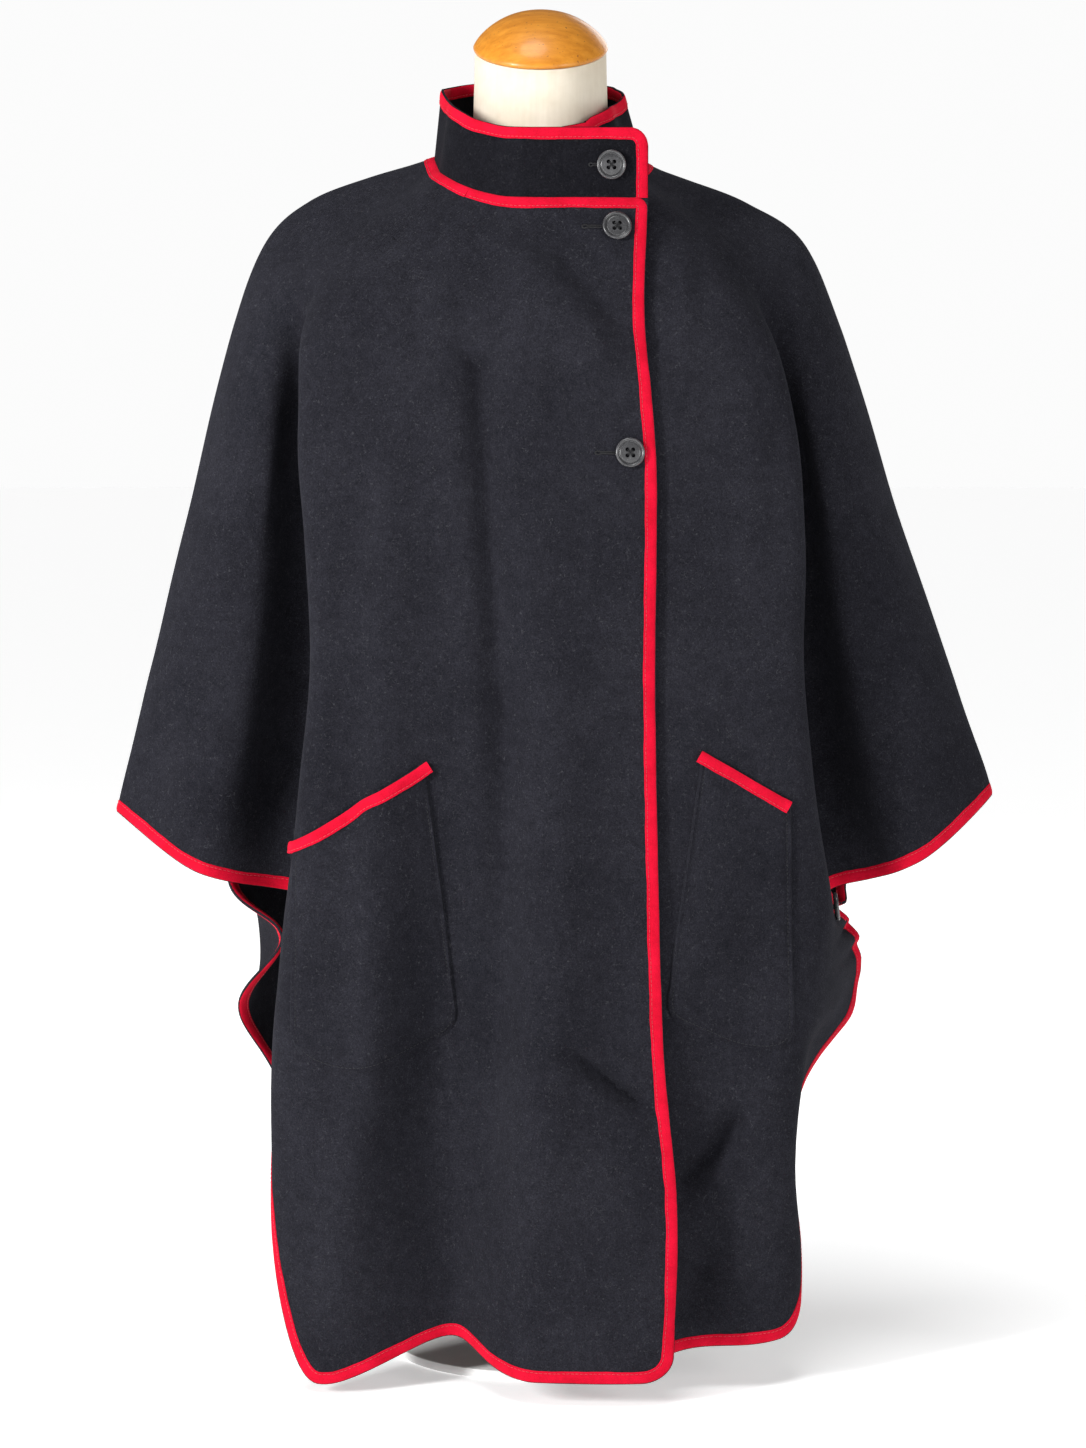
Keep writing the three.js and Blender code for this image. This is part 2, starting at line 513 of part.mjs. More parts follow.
// The wings: from the front seam over the shoulder and outer fold to the back seam.
const WING_COLUMNS = 18;
function wing(name, left, right) {
  const seamed = [seamEdge(base, left, 1), seamEdge(base, right, -1)];
  const across = (v) => shares(WING_COLUMNS).map((t) => [mix(left(v), right(v), t), v]);
  const neckBack = across(0).reverse();
  const hem = across(WING_HEM_RING);
  const tapeEnd = (edge) => (v) => edge(v < WING_HEM_RING - 0.01 ? TAPE_RING : v);
  add(`${name}_neck_binding`, binding(base, neckBack, seamed[1], seamed[0]), 'binding');
  add(`${name}_hem_binding`, binding(base, hem, tapeEnd(seamed[0]), tapeEnd(seamed[1])), 'binding');
  const top = offset(base, neckBack, TAPE_WIDTH + GAP).reverse();
  const bottom = offset(base, hem, TAPE_WIDTH + GAP);
  const sides = seamed.map((edge, i) => {
    const levels = [top[i * WING_COLUMNS][1], ...seamLevels.slice(1)];
    const side = levels.map(edge);
    side[SEAM_ROWS] = stepped(base, side[SEAM_ROWS], vector(0, 0, GAP));
    return side;
  });
  sides.forEach((side, i) => {
    top[i * WING_COLUMNS] = side[0];
    bottom[i * WING_COLUMNS] = side[SEAM_ROWS];
  });
  add(name, cloth(base, filled(top, bottom, sides[0], sides[1])), 'coating');
}
wing('wing_right', (v) => -backSeam(v), (v) => -frontSeam(v));
wing('wing_left', frontSeam, backSeam);

// The stand collar: a band over the neckline that runs once round, from its under end below the
// right front to its outer end on it. Its rows are numbered 0 at the top and 1 at the bottom.
const COLLAR = { height: 55, lift: 2.1, inner: -22.5, outer: FLAP, columns: 48, rows: 3 };
const COLLAR_CORNER = { innerW: 0.65, outerW: 0.21, t: 0.27 };
// How far the top leans outwards, at even steps from the centre back forward to each end
const LEAN = { right: [-6, -2, -4, -8, -8, -6, 0], left: [-8, -10, -14, -19, -18, -12, -6] };
function collarPath(w) {
  if (w > -2) return rightFront(w, 0);
  const under = LAYER_IN * (1 - smooth(w, 1.5 - 2 * BACK, 2.4 - 2 * BACK));
  return base(w, 0).addScaledVector(normalOf(base, w, 0).setZ(0).normalize(), -under);
}
function collarSurface(w, t) {
  const point = collarPath(w);
  const h = 0.02;
  const along = collarPath(w + h).sub(collarPath(w - h)).setZ(0).normalize();
  const up = 1 - t;
  const leans = w > -BACK ? LEAN.right : LEAN.left;
  const steps = leans.length - 1;
  const place = clamp((Math.abs(w + BACK) / (BACK + FLAP)) * steps, 0, steps - 0.001);
  const lean = mix(leans[Math.floor(place)], leans[Math.floor(place) + 1], place % 1);
  point.addScaledVector(vector(along.y, -along.x, 0), lean * up);
  point.z += COLLAR.lift + COLLAR.height * up;
  return point;
}
function collar() {
  const { inner, outer, columns, rows } = COLLAR;
  const bend = (edge, radiusW) => shares(2 * CORNER_STEPS).map((share) => {
    const angle = (share * Math.PI) / 2;
    return [edge + radiusW * (1 - Math.cos(angle)), COLLAR_CORNER.t * (1 - Math.sin(angle))];
  });
  const left = bend(inner, COLLAR_CORNER.innerW);
  const right = bend(outer, -COLLAR_CORNER.outerW);
  const side = (line, edge) => [
    ...line.slice(0, CORNER_STEPS + 1).reverse(),
    ...shares(rows).slice(1).map((t) => [edge, mix(COLLAR_CORNER.t, 1, t)]),
  ];
  const leftSide = side(left, inner);
  const rightSide = side(right, outer);
  const top = [
    leftSide[0], ...left.slice(CORNER_STEPS + 1, -1),
    ...shares(columns).map((t) => [mix(left.at(-1)[0], right.at(-1)[0], t), 0]),
    ...right.slice(CORNER_STEPS + 1, -1).reverse(), rightSide[0],
  ];
  const run = [...rightSide.slice().reverse(), ...top.slice(0, -1).reverse(), ...leftSide.slice(1)];
  add('collar_binding', binding(collarSurface, run), 'binding');
  const moved = new Map();
  offset(collarSurface, run, TAPE_WIDTH + GAP).forEach((place, i) => moved.set(run[i], place));
  const leftIn = leftSide.map((place) => moved.get(place));
  const rightIn = rightSide.map((place) => moved.get(place));
  const topIn = top.map((place) => moved.get(place));
  const last = topIn.length - 1;
  const bottomIn = topIn.map((place, i) => [mix(leftIn.at(-1)[0], rightIn.at(-1)[0], i / last), 1]);
  bottomIn[0] = leftIn.at(-1);
  bottomIn[last] = rightIn.at(-1);
  add('collar', cloth(collarSurface, filled(topIn, bottomIn, leftIn, rightIn)), 'coating');
}
collar();

// Joining and cutting of closed bodies
function solidOf(geometry) {
  const merged = mergeVertices(geometry, 1e-4);
  return new wasm.Manifold(new wasm.Mesh({
    numProp: 3,
    vertProperties: Float32Array.from(merged.getAttribute('position').array),
    triVerts: Uint32Array.from(merged.getIndex().array),
  }));
}
function geometryOf(solid) {
  const mesh = solid.getMesh();
  const geometry = new THREE.BufferGeometry();
  const points = [];
  for (let i = 0; i < mesh.vertProperties.length; i += mesh.numProp) {
    points.push(mesh.vertProperties[i], mesh.vertProperties[i + 1], mesh.vertProperties[i + 2]);
  }
  geometry.setAttribute('position', new THREE.Float32BufferAttribute(points, 3));
  geometry.setIndex(Array.from(mesh.triVerts));
  return geometry;
}

// Patch pockets, outlined as seen from the front by corners with a radius, from the inner top corner
// round by the outer side. columns and rows are the part of the front's grid that they lie on.
const POCKET = { cloth: 2, tape: 3, cornerSteps: 5 };
const POCKETS = [
  {
    name: 'pocket_right', surface: rightFront, grid: fronts.right, columns: [3, 14], rows: [9, 19],
    outline: [[-87, 520, 0], [-207, 446, 0], [-207, 276, 26], [-140, 262, 20], [-60, 296, 16]],
  },
  {
    name: 'pocket_left', surface: leftFront, grid: fronts.left, columns: [6, 15], rows: [9, 19],
    outline: [[137, 528, 0], [230, 478, 0], [230, 280, 26], [170, 282, 20], [106, 312, 16]],
  },
];
function rounded(outline) {
  return outline.flatMap(([x, z, radius], i) => {
    if (radius === 0) return [[x, z]];
    const at = new THREE.Vector2(x, z);
    const towards = [outline.at(i - 1), outline[(i + 1) % outline.length]]
      .map(([nx, nz]) => new THREE.Vector2(nx, nz).sub(at).setLength(radius).add(at));
    return shares(POCKET.cornerSteps).map((t) => {
      const start = towards[0].clone().lerp(at, t);
      return start.lerp(at.clone().lerp(towards[1], t), t).toArray();
    });
  });
}
const IN_FRONT = { depth: 260, from: -60 }; // the space that the outlines cut, from this Y forwards
function prism(outline) {
  const flat = outline.slice();
  if (THREE.ShapeUtils.area(flat.map(([x, y]) => new THREE.Vector2(x, y))) < 0) flat.reverse();
  return new wasm.CrossSection([flat]).extrude(IN_FRONT.depth).rotate([90, 0, 0])
    .translate([0, IN_FRONT.from, 0]);
}
for (const { name, surface, grid, columns, rows, outline } of POCKETS) {
  const patch = grid.slice(...rows).map((row) => row.slice(...columns));
  const under = CLOTH / 2 + GAP;
  const [first, second] = outline.map(([x, z]) => new THREE.Vector2(x, z));
  const along = second.clone().sub(first).normalize();
  const drop = new THREE.Vector2(along.y, -along.x);
  if (drop.y > 0) drop.negate();
  const lowered = (distance) => [first, second]
    .map((p) => p.clone().addScaledVector(drop, distance).toArray());
  const [bindingLow, clothTop] = [lowered(TAPE_WIDTH), lowered(TAPE_WIDTH + GAP)];
  const body = [[...clothTop[0], 0], [...clothTop[1], 0], ...outline.slice(2)];
  const mouth = [first.toArray(), second.toArray(), bindingLow[1], bindingLow[0]];
  const bodyWall = solidOf(shell(surface, patch, under, under + POCKET.cloth));
  const mouthWall = solidOf(shell(surface, patch, under, under + POCKET.tape));
  add(name, geometryOf(bodyWall.intersect(prism(rounded(body)))), 'coating');
  add(`${name}_binding`, geometryOf(mouthWall.intersect(prism(mouth))), 'binding');
}

// Four-hole buttons with a raised rim. Each stands a little off the cloth that it is sewn to.
const BUTTON = {
  radius: 12, thickness: 3.6, rim: 2.2, dish: 1.1, hole: 1.1, spread: 2.7, sides: 20, off: 0.8,
};
function button() {
  const { radius, thickness, rim, dish, hole, spread, sides } = BUTTON;
  const profile = [
    [0, 0], [radius - 2, 0], [radius, 1.4], [radius, thickness - 1], [radius - 0.7, thickness],
    [radius - rim, thickness], [radius - rim - 1, thickness - dish], [0, thickness - dish],
  ];
  const outline = new wasm.CrossSection([profile]);
  let body = outline.revolve(sides);
  for (const [x, y] of [[1, 1], [1, -1], [-1, 1], [-1, -1]]) {
    const drill = wasm.Manifold.cylinder(3 * thickness, hole, hole, 8, true);
    body = body.subtract(drill.translate([x * spread / Math.SQRT2, y * spread / Math.SQRT2, 0]));
  }
  return geometryOf(body);
}
function placedButton(name, surface, w, v, half) {
  const out = normalOf(surface, w, v);
  const geometry = button();
  geometry.applyQuaternion(new THREE.Quaternion().setFromUnitVectors(vector(0, 0, 1), out));
  const at = surface(w, v).addScaledVector(out, half + BUTTON.off);
  geometry.translate(at.x, at.y, at.z);
  add(name, geometry, 'button');
}
placedButton('button_collar', collarSurface, 0.88, 0.56, CLOTH / 2);
placedButton('button_upper', rightFront, 0.95, 0.52, CLOTH / 2);
placedButton('button_lower', rightFront, 1.02, 3.88, CLOTH / 2);
placedButton('button_side_right', rightFront, -3.6, 8.5, CLOTH / 2);
placedButton('button_side_left', leftFront, 3.62, 8.25, CLOTH / 2);

// The dress form. Its shoulders lie under the cape, from its own rings moved inwards; the neck above
// and the torso below are oval rings: half width, depth to the front and back, height at the middle
// and at the sides.
const FORM_SIDES = 32;
const SHOULDER_RINGS = [
  { v: 0.5, inset: 9 }, { v: 0.9, inset: 5 }, { v: 1.3, inset: 4.2 }, { v: 1.7, inset: 4.2 },
  { v: 2.1, inset: 4.6 }, { v: 2.5, inset: 7 },
];
const NECK_RINGS = [
  { half: 55, front: 60, back: 54, middle: 1102, side: 1102 },
  { half: 56, front: 60, back: 55, middle: 1065, side: 1065 },
  { half: 58, front: 61, back: 57, middle: 1022, side: 1024 },
  { half: 64, front: 64, back: 60, middle: 990, side: 1000 },
];
const TORSO_RINGS = [
  { half: 196, front: 104, back: 98, middle: 832, side: 920 },
  { half: 172, front: 106, back: 98, middle: 790, side: 850 },
  { half: 152, front: 102, back: 94, middle: 740, side: 770 },
  { half: 132, front: 92, back: 84, middle: 680, side: 690 },
  { half: 120, front: 84, back: 78, middle: 615, side: 615 },
  { half: 140, front: 94, back: 96, middle: 550, side: 550 },
  { half: 162, front: 104, back: 110, middle: 480, side: 480 },
  { half: 164, front: 104, back: 112, middle: 430, side: 430 },
  { half: 152, front: 96, back: 104, middle: 402, side: 402 },
  { half: 118, front: 76, back: 80, middle: 390, side: 390 },
];
const NECK_TILT = 0.42; // how steeply the top of the neck falls to the front
const NECK_MIDDLE = { x: 6, y: -2 };
const ovalAngles = shares(FORM_SIDES).slice(1).map((t) => {
  const point = base(mix(-BACK, BACK, t), 2);
  return Math.atan2(point.y / 110, point.x / 200);
});
function oval({ half, front, back, middle, side }, { x = 0, y = 0 } = {}, tilt = 0) {
  return ovalAngles.map((angle) => {
    const depth = Math.sin(angle) < 0 ? front : back;
    const py = y + depth * Math.sin(angle);
    const level = mix(middle, side, Math.cos(angle) ** 2);
    return vector(x + half * Math.cos(angle), py, level + tilt * py);
  });
}
function lofted(rings) {
  const count = rings[0].length;
  const points = rings.flat();
  const index = [];
  for (let i = 0; i < rings.length - 1; i++) {
    for (let j = 0; j < count; j++) {
      const a = i * count + j;
      const b = i * count + ((j + 1) % count);
      index.push(a, b, b + count, a, b + count, a + count);
    }
  }
  for (const [start, flip] of [[0, true], [(rings.length - 1) * count, false]]) {
    const middle = vector(0, 0, 0);
    for (let j = 0; j < count; j++) middle.addScaledVector(points[start + j], 1 / count);
    points.push(middle);
    for (let j = 0; j < count; j++) {
      const pair = [start + j, start + ((j + 1) % count)];
      if (flip) pair.reverse();
      index.push(...pair, points.length - 1);
    }
  }
  return closed(points, index);
}
const tilts = [NECK_TILT, NECK_TILT / 2, 0, 0];
const neckRings = NECK_RINGS.map((row, i) => oval(row, NECK_MIDDLE, tilts[i]));
const shoulderRings = SHOULDER_RINGS.map(({ v, inset }) => shares(FORM_SIDES).slice(1).map((t) => {
  const w = mix(-BACK, BACK, t);
  const front = LAYER_IN * (1 - smooth(Math.abs(w), 1.5, 3));
  return base(w, v).addScaledVector(normalOf(base, w, v), -inset - front);
}));
const torsoRings = TORSO_RINGS.map((row) => oval(row));
add('form_torso', lofted([...neckRings, ...shoulderRings, ...torsoRings]), 'linen');

// The wooden cap: a low dome on the tilted top of the neck, with a rounded rim.
const CAP = { rise: 30, steps: 5, over: 1.5, edge: 2.5, under: 0.97, forward: 0.25 };
function cap() {
  const rim = NECK_RINGS[0];
  const dome = shares(CAP.steps).slice(0, -1).map((t) => ({
    share: Math.cos((t * Math.PI) / 2),
    height: CAP.edge + CAP.rise * Math.sin((t * Math.PI) / 2),
  }));
  const rings = [{ share: CAP.under, height: 0 }, ...dome].map(({ share, height }) => {
    const row = {
      half: (rim.half + CAP.over) * share,
      front: (rim.front + CAP.over) * share,
      back: (rim.back + CAP.over) * share,
      middle: rim.middle + GAP + height,
      side: rim.side + GAP + height,
    };
    return oval(row, { x: NECK_MIDDLE.x, y: NECK_MIDDLE.y * share - CAP.forward * height }, NECK_TILT);
  });
  return lofted(rings);
}
add('form_cap', cap(), 'wood');

// The post and the round base plate in one body
const POST = { radius: 14, top: 390 - GAP, sides: 24 };
const PLATE = { radius: 118, thickness: 8, edge: 2, sides: 40 };
function stand() {
  const { radius, thickness, edge, sides } = PLATE;
  const profile = [
    [0, 0], [radius, 0], [radius, thickness - edge], [radius - edge, thickness], [0, thickness],
  ];
  const plate = new wasm.CrossSection([profile]).revolve(sides);
  const post = wasm.Manifold.cylinder(POST.top - thickness / 2, POST.radius, POST.radius, POST.sides)
    .translate([0, 0, thickness / 2]);
  return geometryOf(plate.add(post));
}
add('stand', stand(), 'plate');

export default group;
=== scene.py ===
"""Looks of the wool cape coat on its dress form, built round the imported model.

The coat's forms are worked out in millimetres, as in the part's source, and turned into metres when
a mesh is made. -Y is the front and +X the wearer's left.
"""

import math

import bpy
import numpy as np
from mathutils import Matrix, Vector


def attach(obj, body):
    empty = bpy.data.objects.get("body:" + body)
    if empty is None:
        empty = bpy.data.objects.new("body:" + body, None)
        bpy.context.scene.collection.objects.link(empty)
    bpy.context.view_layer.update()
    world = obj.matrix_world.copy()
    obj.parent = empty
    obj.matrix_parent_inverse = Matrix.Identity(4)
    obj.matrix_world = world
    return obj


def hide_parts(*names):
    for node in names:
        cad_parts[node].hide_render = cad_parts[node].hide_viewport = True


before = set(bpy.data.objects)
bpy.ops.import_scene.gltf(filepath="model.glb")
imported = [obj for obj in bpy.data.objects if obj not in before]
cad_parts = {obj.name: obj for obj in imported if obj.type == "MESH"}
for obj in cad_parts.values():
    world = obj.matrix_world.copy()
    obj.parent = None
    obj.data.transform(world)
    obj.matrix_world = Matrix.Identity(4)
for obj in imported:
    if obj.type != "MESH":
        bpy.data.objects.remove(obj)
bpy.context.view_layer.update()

MM = 0.001
BODY = "root"

# Cloth sizes, as in the part's source
CLOTH = 2.2
TAPE_WIDTH = 10.0
GAP = 0.3
LAYER_OUT = 3.4
LAYER_IN = 2.6
GROOVE = 4
BACK_GROOVE = 8
BACK = 11
HEM_RING = 12
WING_HEM_RING = 8
FURTHEST = 2 * BACK + 2

RING_COLUMNS = ["z_front", "z_back_groove", "z_back", "front", "back", "edge"]
RINGS = [
    [976, 1020, 1028, -90, 74, 94],
    [928, 990, 992, -108, 96, 92],
    [880, 948, 944, -121, 114, 91],
    [826, 900, 885, -132, 126, 95],
    [760, 825, 815, -142, 134, 100],
    [680, 735, 725, -151, 141, 100],
    [590, 622, 620, -159, 147, 99],
    [500, 505, 510, -166, 152, 100],
    [405, 402, 405, -172, 156, 102],
    [335, 360, 340, -176, 160, 104],
    [268, 290, 268, -180, 165, 107],
    [150, 205, 150, -187, 174, 117],
    [17, 40, 17, -193, 184, 113],
]
SIDE_COLUMNS = [
    "fold_x", "fold_y", "groove_x", "groove_y", "groove_z", "wing_y", "wing_back_y",
    "tip_x", "tip_y", "tip_z", "back_groove_x", "back_groove_y", "back_x", "back_y",
]
RIGHT = [
    [60, -70, 74, -48, 998, -22, 30, 82, 4, 1014, 72, 44, 55, 60],
    [98, -86, 114, -64, 966, -36, 40, 138, 4, 998, 112, 62, 82, 84],
    [142, -97, 158, -72, 926, -42, 47, 188, 4, 978, 152, 74, 112, 100],
    [182, -104, 192, -74, 876, -48, 54, 223, 4, 945, 187, 82, 140, 112],
    [190, -116, 192, -76, 805, -60, 66, 250, 2, 872, 206, 84, 160, 121],
    [184, -126, 182, -72, 712, -66, 72, 276, 0, 775, 216, 80, 180, 125],
    [180, -134, 178, -66, 612, -66, 72, 303, 0, 665, 228, 70, 200, 122],
    [188, -140, 186, -58, 506, -62, 62, 328, 0, 562, 246, 52, 216, 112],
    [199, -143, 200, -48, 398, -56, 46, 354, 0, 463, 262, 26, 230, 98],
    [205, -143, 202, -46, 345, -50, 44, 354, 0, 400, 213, -30, 236, 92],
    [210, -142, 204, -54, 298, -50, 44, 354, 0, 330, 256, 42, 224, 112],
    [213, -136, 208, -62, 190, -50, 44, 354, 0, 200, 222, 92, 200, 134],
    [213, -126, 210, -60, 30, -50, 44, 354, 0, 80, 200, 120, 185, 156],
]
LEFT = [
    [60, -70, 78, -48, 996, -22, 30, 91, 4, 1010, 74, 44, 55, 60],
    [98, -86, 114, -64, 966, -36, 40, 132, 4, 996, 112, 62, 82, 84],
    [142, -97, 158, -72, 926, -42, 47, 181, 4, 976, 152, 74, 112, 100],
    [190, -104, 196, -74, 876, -48, 54, 226, 4, 945, 187, 82, 140, 112],
    [214, -112, 210, -76, 805, -60, 66, 257, 2, 872, 208, 84, 160, 121],
    [218, -120, 212, -72, 712, -66, 72, 287, 0, 775, 222, 80, 182, 125],
    [218, -128, 212, -66, 612, -66, 72, 323, 0, 668, 236, 70, 204, 122],
    [226, -130, 226, -56, 506, -62, 62, 358, 0, 566, 256, 50, 218, 112],
    [240, -118, 254, -40, 400, -54, 46, 389, 0, 478, 268, 16, 232, 98],
    [234, -122, 280, -10, 354, -50, 44, 388, 0, 400, 250, 10, 228, 100],
    [227, -128, 280, 6, 300, -50, 44, 388, 0, 330, 236, 52, 218, 114],
    [219, -130, 228, -42, 232, -50, 44, 388, 0, 200, 212, 96, 196, 136],
    [218, -120, 214, -50, 62, -50, 44, 388, 0, 80, 196, 122, 184, 156],
]
# Large folds: meridian at the top and hem, half width, rings where it starts and is full, how far it
# stands out and how far it lifts the hem.
FOLD_COLUMNS = ["top", "hem", "width", "start", "full", "out", "lift"]
FOLDS = [
    [-0.75, -1.0, 0.62, 4, 12, -52, 26],
    [-2.1, -2.25, 0.55, 6, 12, 10, -14],
    [1.2, 1.2, 0.9, 10, 12, 0, 4],
    [1.5, 1.7, 0.5, 8, 12, -16, 4],
    [-5, -5, 0.5, 3, 8, 9, -1],
    [5, 5, 0.5, 3, 8, 9, 2],
    [-9.7, -9.6, 0.42, 3, 12, -24, 6],
    [9.7, 9.6, 0.42, 3, 12, -24, 6],
    [-10.5, -10.5, 0.36, 4, 12, 16, 0],
    [10.5, 10.5, 0.36, 4, 12, 16, 0],
    [11, 11, 0.42, 4, 12, -18, 4],
]
FRONT_SHARES = [0.36, 0.72]
FOLD_RISE = 0.6
WING_RISE = 0.33
BACK_SHARE = (0.5, 0.27, 0.25)


def columns(names, rows):
    return {name: np.array(values, float) for name, values in zip(names, zip(*rows))}


def smooth(x, low, high):
    t = np.clip((np.asarray(x, float) - low) / (high - low), 0, 1)
    return t * t * (3 - 2 * t)


def lerp(a, b, t):
    return a + (b - a) * t


def unit(vectors):
    return vectors / np.maximum(np.linalg.norm(vectors, axis=-1, keepdims=True), 1e-9)


def stacked(*parts):
    return np.stack(np.broadcast_arrays(*parts), axis=-1).astype(float)


def weights(t):
    return [
        (-t + 2 * t**2 - t**3) / 2,
        (2 - 5 * t**2 + 3 * t**3) / 2,
        (t + 4 * t**2 - 3 * t**3) / 2,
        (t**3 - t**2) / 2,
    ]


def spline(grid, i, j):
    """Catmull-Rom over a grid of points, at fractional row i and column j. It has one spare line round it."""
    rows, cols = grid.shape[0] - 2, grid.shape[1] - 2
    a = np.clip(np.floor(i).astype(int), 0, rows - 2)
    b = np.clip(np.floor(j).astype(int), 0, cols - 2)
    down, across = weights(i - a), weights(j - b)
    total = np.zeros(a.shape + (grid.shape[2],))
    for m in range(4):
        for n in range(4):
            total += (down[m] * across[n])[..., None] * grid[a + m, b + n]
    return total


def padded(grid):
    """The grid with one line more on each side, run on straight."""
    wide = np.concatenate([2 * grid[:1] - grid[1:2], grid, 2 * grid[-1:] - grid[-2:-1]])
    first, last = 2 * wide[:, :1] - wide[:, 1:2], 2 * wide[:, -1:] - wide[:, -2:-1]
    return np.concatenate([first, wide, last], axis=1)


def control_grid():
    ring = columns(RING_COLUMNS, RINGS)
    grid = []
    for k in range(-FURTHEST, FURTHEST + 1):
        meridian = k - 2 * BACK if k > BACK else k + 2 * BACK if k < -BACK else k
        side = columns(SIDE_COLUMNS, RIGHT if meridian < 0 else LEFT)
        z_fold = lerp(ring["z_front"], side["groove_z"], FOLD_RISE)
        z_corner = lerp(ring["z_back_groove"], ring["z_back"], 0.5)
        near = [
            stacked(
                share * side["fold_x"],
                lerp(ring["front"], side["fold_y"], share**2),
                lerp(ring["z_front"], z_fold, share**2),
            )
            for share in FRONT_SHARES
        ]
        places = [
            stacked(0, ring["front"], ring["z_front"]),
            *near,
            stacked(side["fold_x"], side["fold_y"], z_fold),
            stacked(side["groove_x"], side["groove_y"], side["groove_z"]),
            stacked(
                (side["groove_x"] + side["tip_x"]) / 2,
                side["wing_y"],
                lerp(side["groove_z"], side["tip_z"], WING_RISE),
            ),
            stacked(side["tip_x"], side["tip_y"], side["tip_z"]),
            stacked(
                (side["back_groove_x"] + side["tip_x"]) / 2,
                side["wing_back_y"],
                lerp(ring["z_back_groove"], side["tip_z"], WING_RISE),
            ),
            stacked(side["back_groove_x"], side["back_groove_y"], ring["z_back_groove"]),
            stacked(side["back_x"], side["back_y"], z_corner),
            stacked(
                BACK_SHARE[0] * side["back_x"],
                lerp(ring["back"], side["back_y"], BACK_SHARE[1]),
                lerp(ring["z_back"], z_corner, BACK_SHARE[2]),
            ),
            stacked(0, ring["back"], ring["z_back"]),
        ]
        point = places[abs(meridian)]
        point[:, 0] *= -1 if meridian < 0 else 1
        grid.append(point)
    return padded(np.array(grid))


CONTROLS = control_grid()


def plain(w, v):
    w, v = np.broadcast_arrays(np.asarray(w, float), np.asarray(v, float))
    return spline(CONTROLS, w + FURTHEST, v)


def normal(surface, w, v, step=0.02):
    across = surface(w + step, v) - surface(w - step, v)
    down = surface(w, v + step) - surface(w, v - step)
    return unit(np.cross(down, across))


def folded(w, v):
    w, v = np.broadcast_arrays(np.asarray(w, float), np.asarray(v, float))
    point, out = plain(w, v), normal(plain, w, v)
    for row in FOLDS:
        fold = dict(zip(FOLD_COLUMNS, row))
        growth = smooth(v, fold["start"], fold["full"]) ** 1.3
        away = np.abs(w - lerp(fold["top"], fold["hem"], v / HEM_RING)) % (2 * BACK)
        away = np.minimum(away, 2 * BACK - away)
        bump = growth * np.exp(-((away / fold["width"]) ** 2))
        point = point + (fold["out"] * bump)[..., None] * out
        point[..., 2] += fold["lift"] * bump
    return point


def frozen(surface, low, high, step):
    """A fast copy of a surface over a range of places, read from a fine grid of its points."""
    w = np.arange(low[0], high[0] + step[0], step[0])
    v = np.arange(low[1], high[1] + step[1], step[1])
    grid = padded(surface(w[:, None] + 0 * v, v + 0 * w[:, None]))

    def fast(a, b):
        a, b = np.broadcast_arrays(np.asarray(a, float), np.asarray(b, float))
        return spline(grid, (a - low[0]) / step[0], (b - low[1]) / step[1])

    return fast


base = frozen(folded, (-23.8, -0.6), (23.8, 12.6), (0.05, 0.05))

# The right front lies over the left one, and past the centre front it is a flat flap.
FLAP = 1.3
FLAP_BOW = 6
KICK = (10, 16)


def reach(v):
    edges = padded(columns(RING_COLUMNS, RINGS)["edge"][:, None, None].repeat(2, axis=1))
    return spline(edges, np.asarray(v, float), np.zeros(np.shape(v)))[..., 0]


def right_front(w, v):
    w, v = np.broadcast_arrays(np.asarray(w, float), np.asarray(v, float))
    lift = LAYER_OUT * smooth(w, -1.4, -0.2)
    kick = KICK[1] * smooth(v, KICK[0], HEM_RING) * smooth(w, -1, 1)
    held = np.minimum(w, 0)
    point = base(held, v) + lift[..., None] * normal(base, held, v)
    point[..., 1] -= kick
    share = np.maximum(w, 0) / FLAP
    flap = w > 0
    point[..., 0] = np.where(flap, share * reach(v), point[..., 0])
    point[..., 1] += np.where(flap, FLAP_BOW * share**2, 0)
    return point


def left_front(w, v):
    depth = LAYER_IN * (1 - smooth(w, 1.5, 2.4))
    return base(w, v) - np.asarray(depth)[..., None] * normal(base, w, v)


COLLAR_HEIGHT = 55
COLLAR_LIFT = 2.1
COLLAR_INNER = -22.5
LEAN = {"right": [-6, -2, -4, -8, -8, -6, 0], "left": [-8, -10, -14, -19, -18, -12, -6]}


def collar_path(w):
    w = np.asarray(w, float)
    level = normal(base, w, 0 * w)
    level[..., 2] = 0
    under = LAYER_IN * (1 - smooth(w, 1.5 - 2 * BACK, 2.4 - 2 * BACK))
    inner = base(w, 0 * w) - under[..., None] * unit(level)
    return np.where((w > -2)[..., None], right_front(w, 0 * w), inner)


def collar_surface(w, t):
    w, t = np.broadcast_arrays(np.asarray(w, float), np.asarray(t, float))
    point = collar_path(w)
    along = collar_path(w + 0.02) - collar_path(w - 0.02)
    along[..., 2] = 0
    along = unit(along)
    steps = len(LEAN["right"]) - 1
    place = np.clip(np.abs(w + BACK) / (BACK + FLAP) * steps, 0, steps)
    marks = np.arange(steps + 1)
    lean = np.where(w > -BACK, np.interp(place, marks, LEAN["right"]), np.interp(place, marks, LEAN["left"]))
    up = 1 - t
    point = point + (lean * up)[..., None] * stacked(along[..., 1], -along[..., 0], 0)
    point[..., 2] += COLLAR_LIFT + COLLAR_HEIGHT * up
    return point


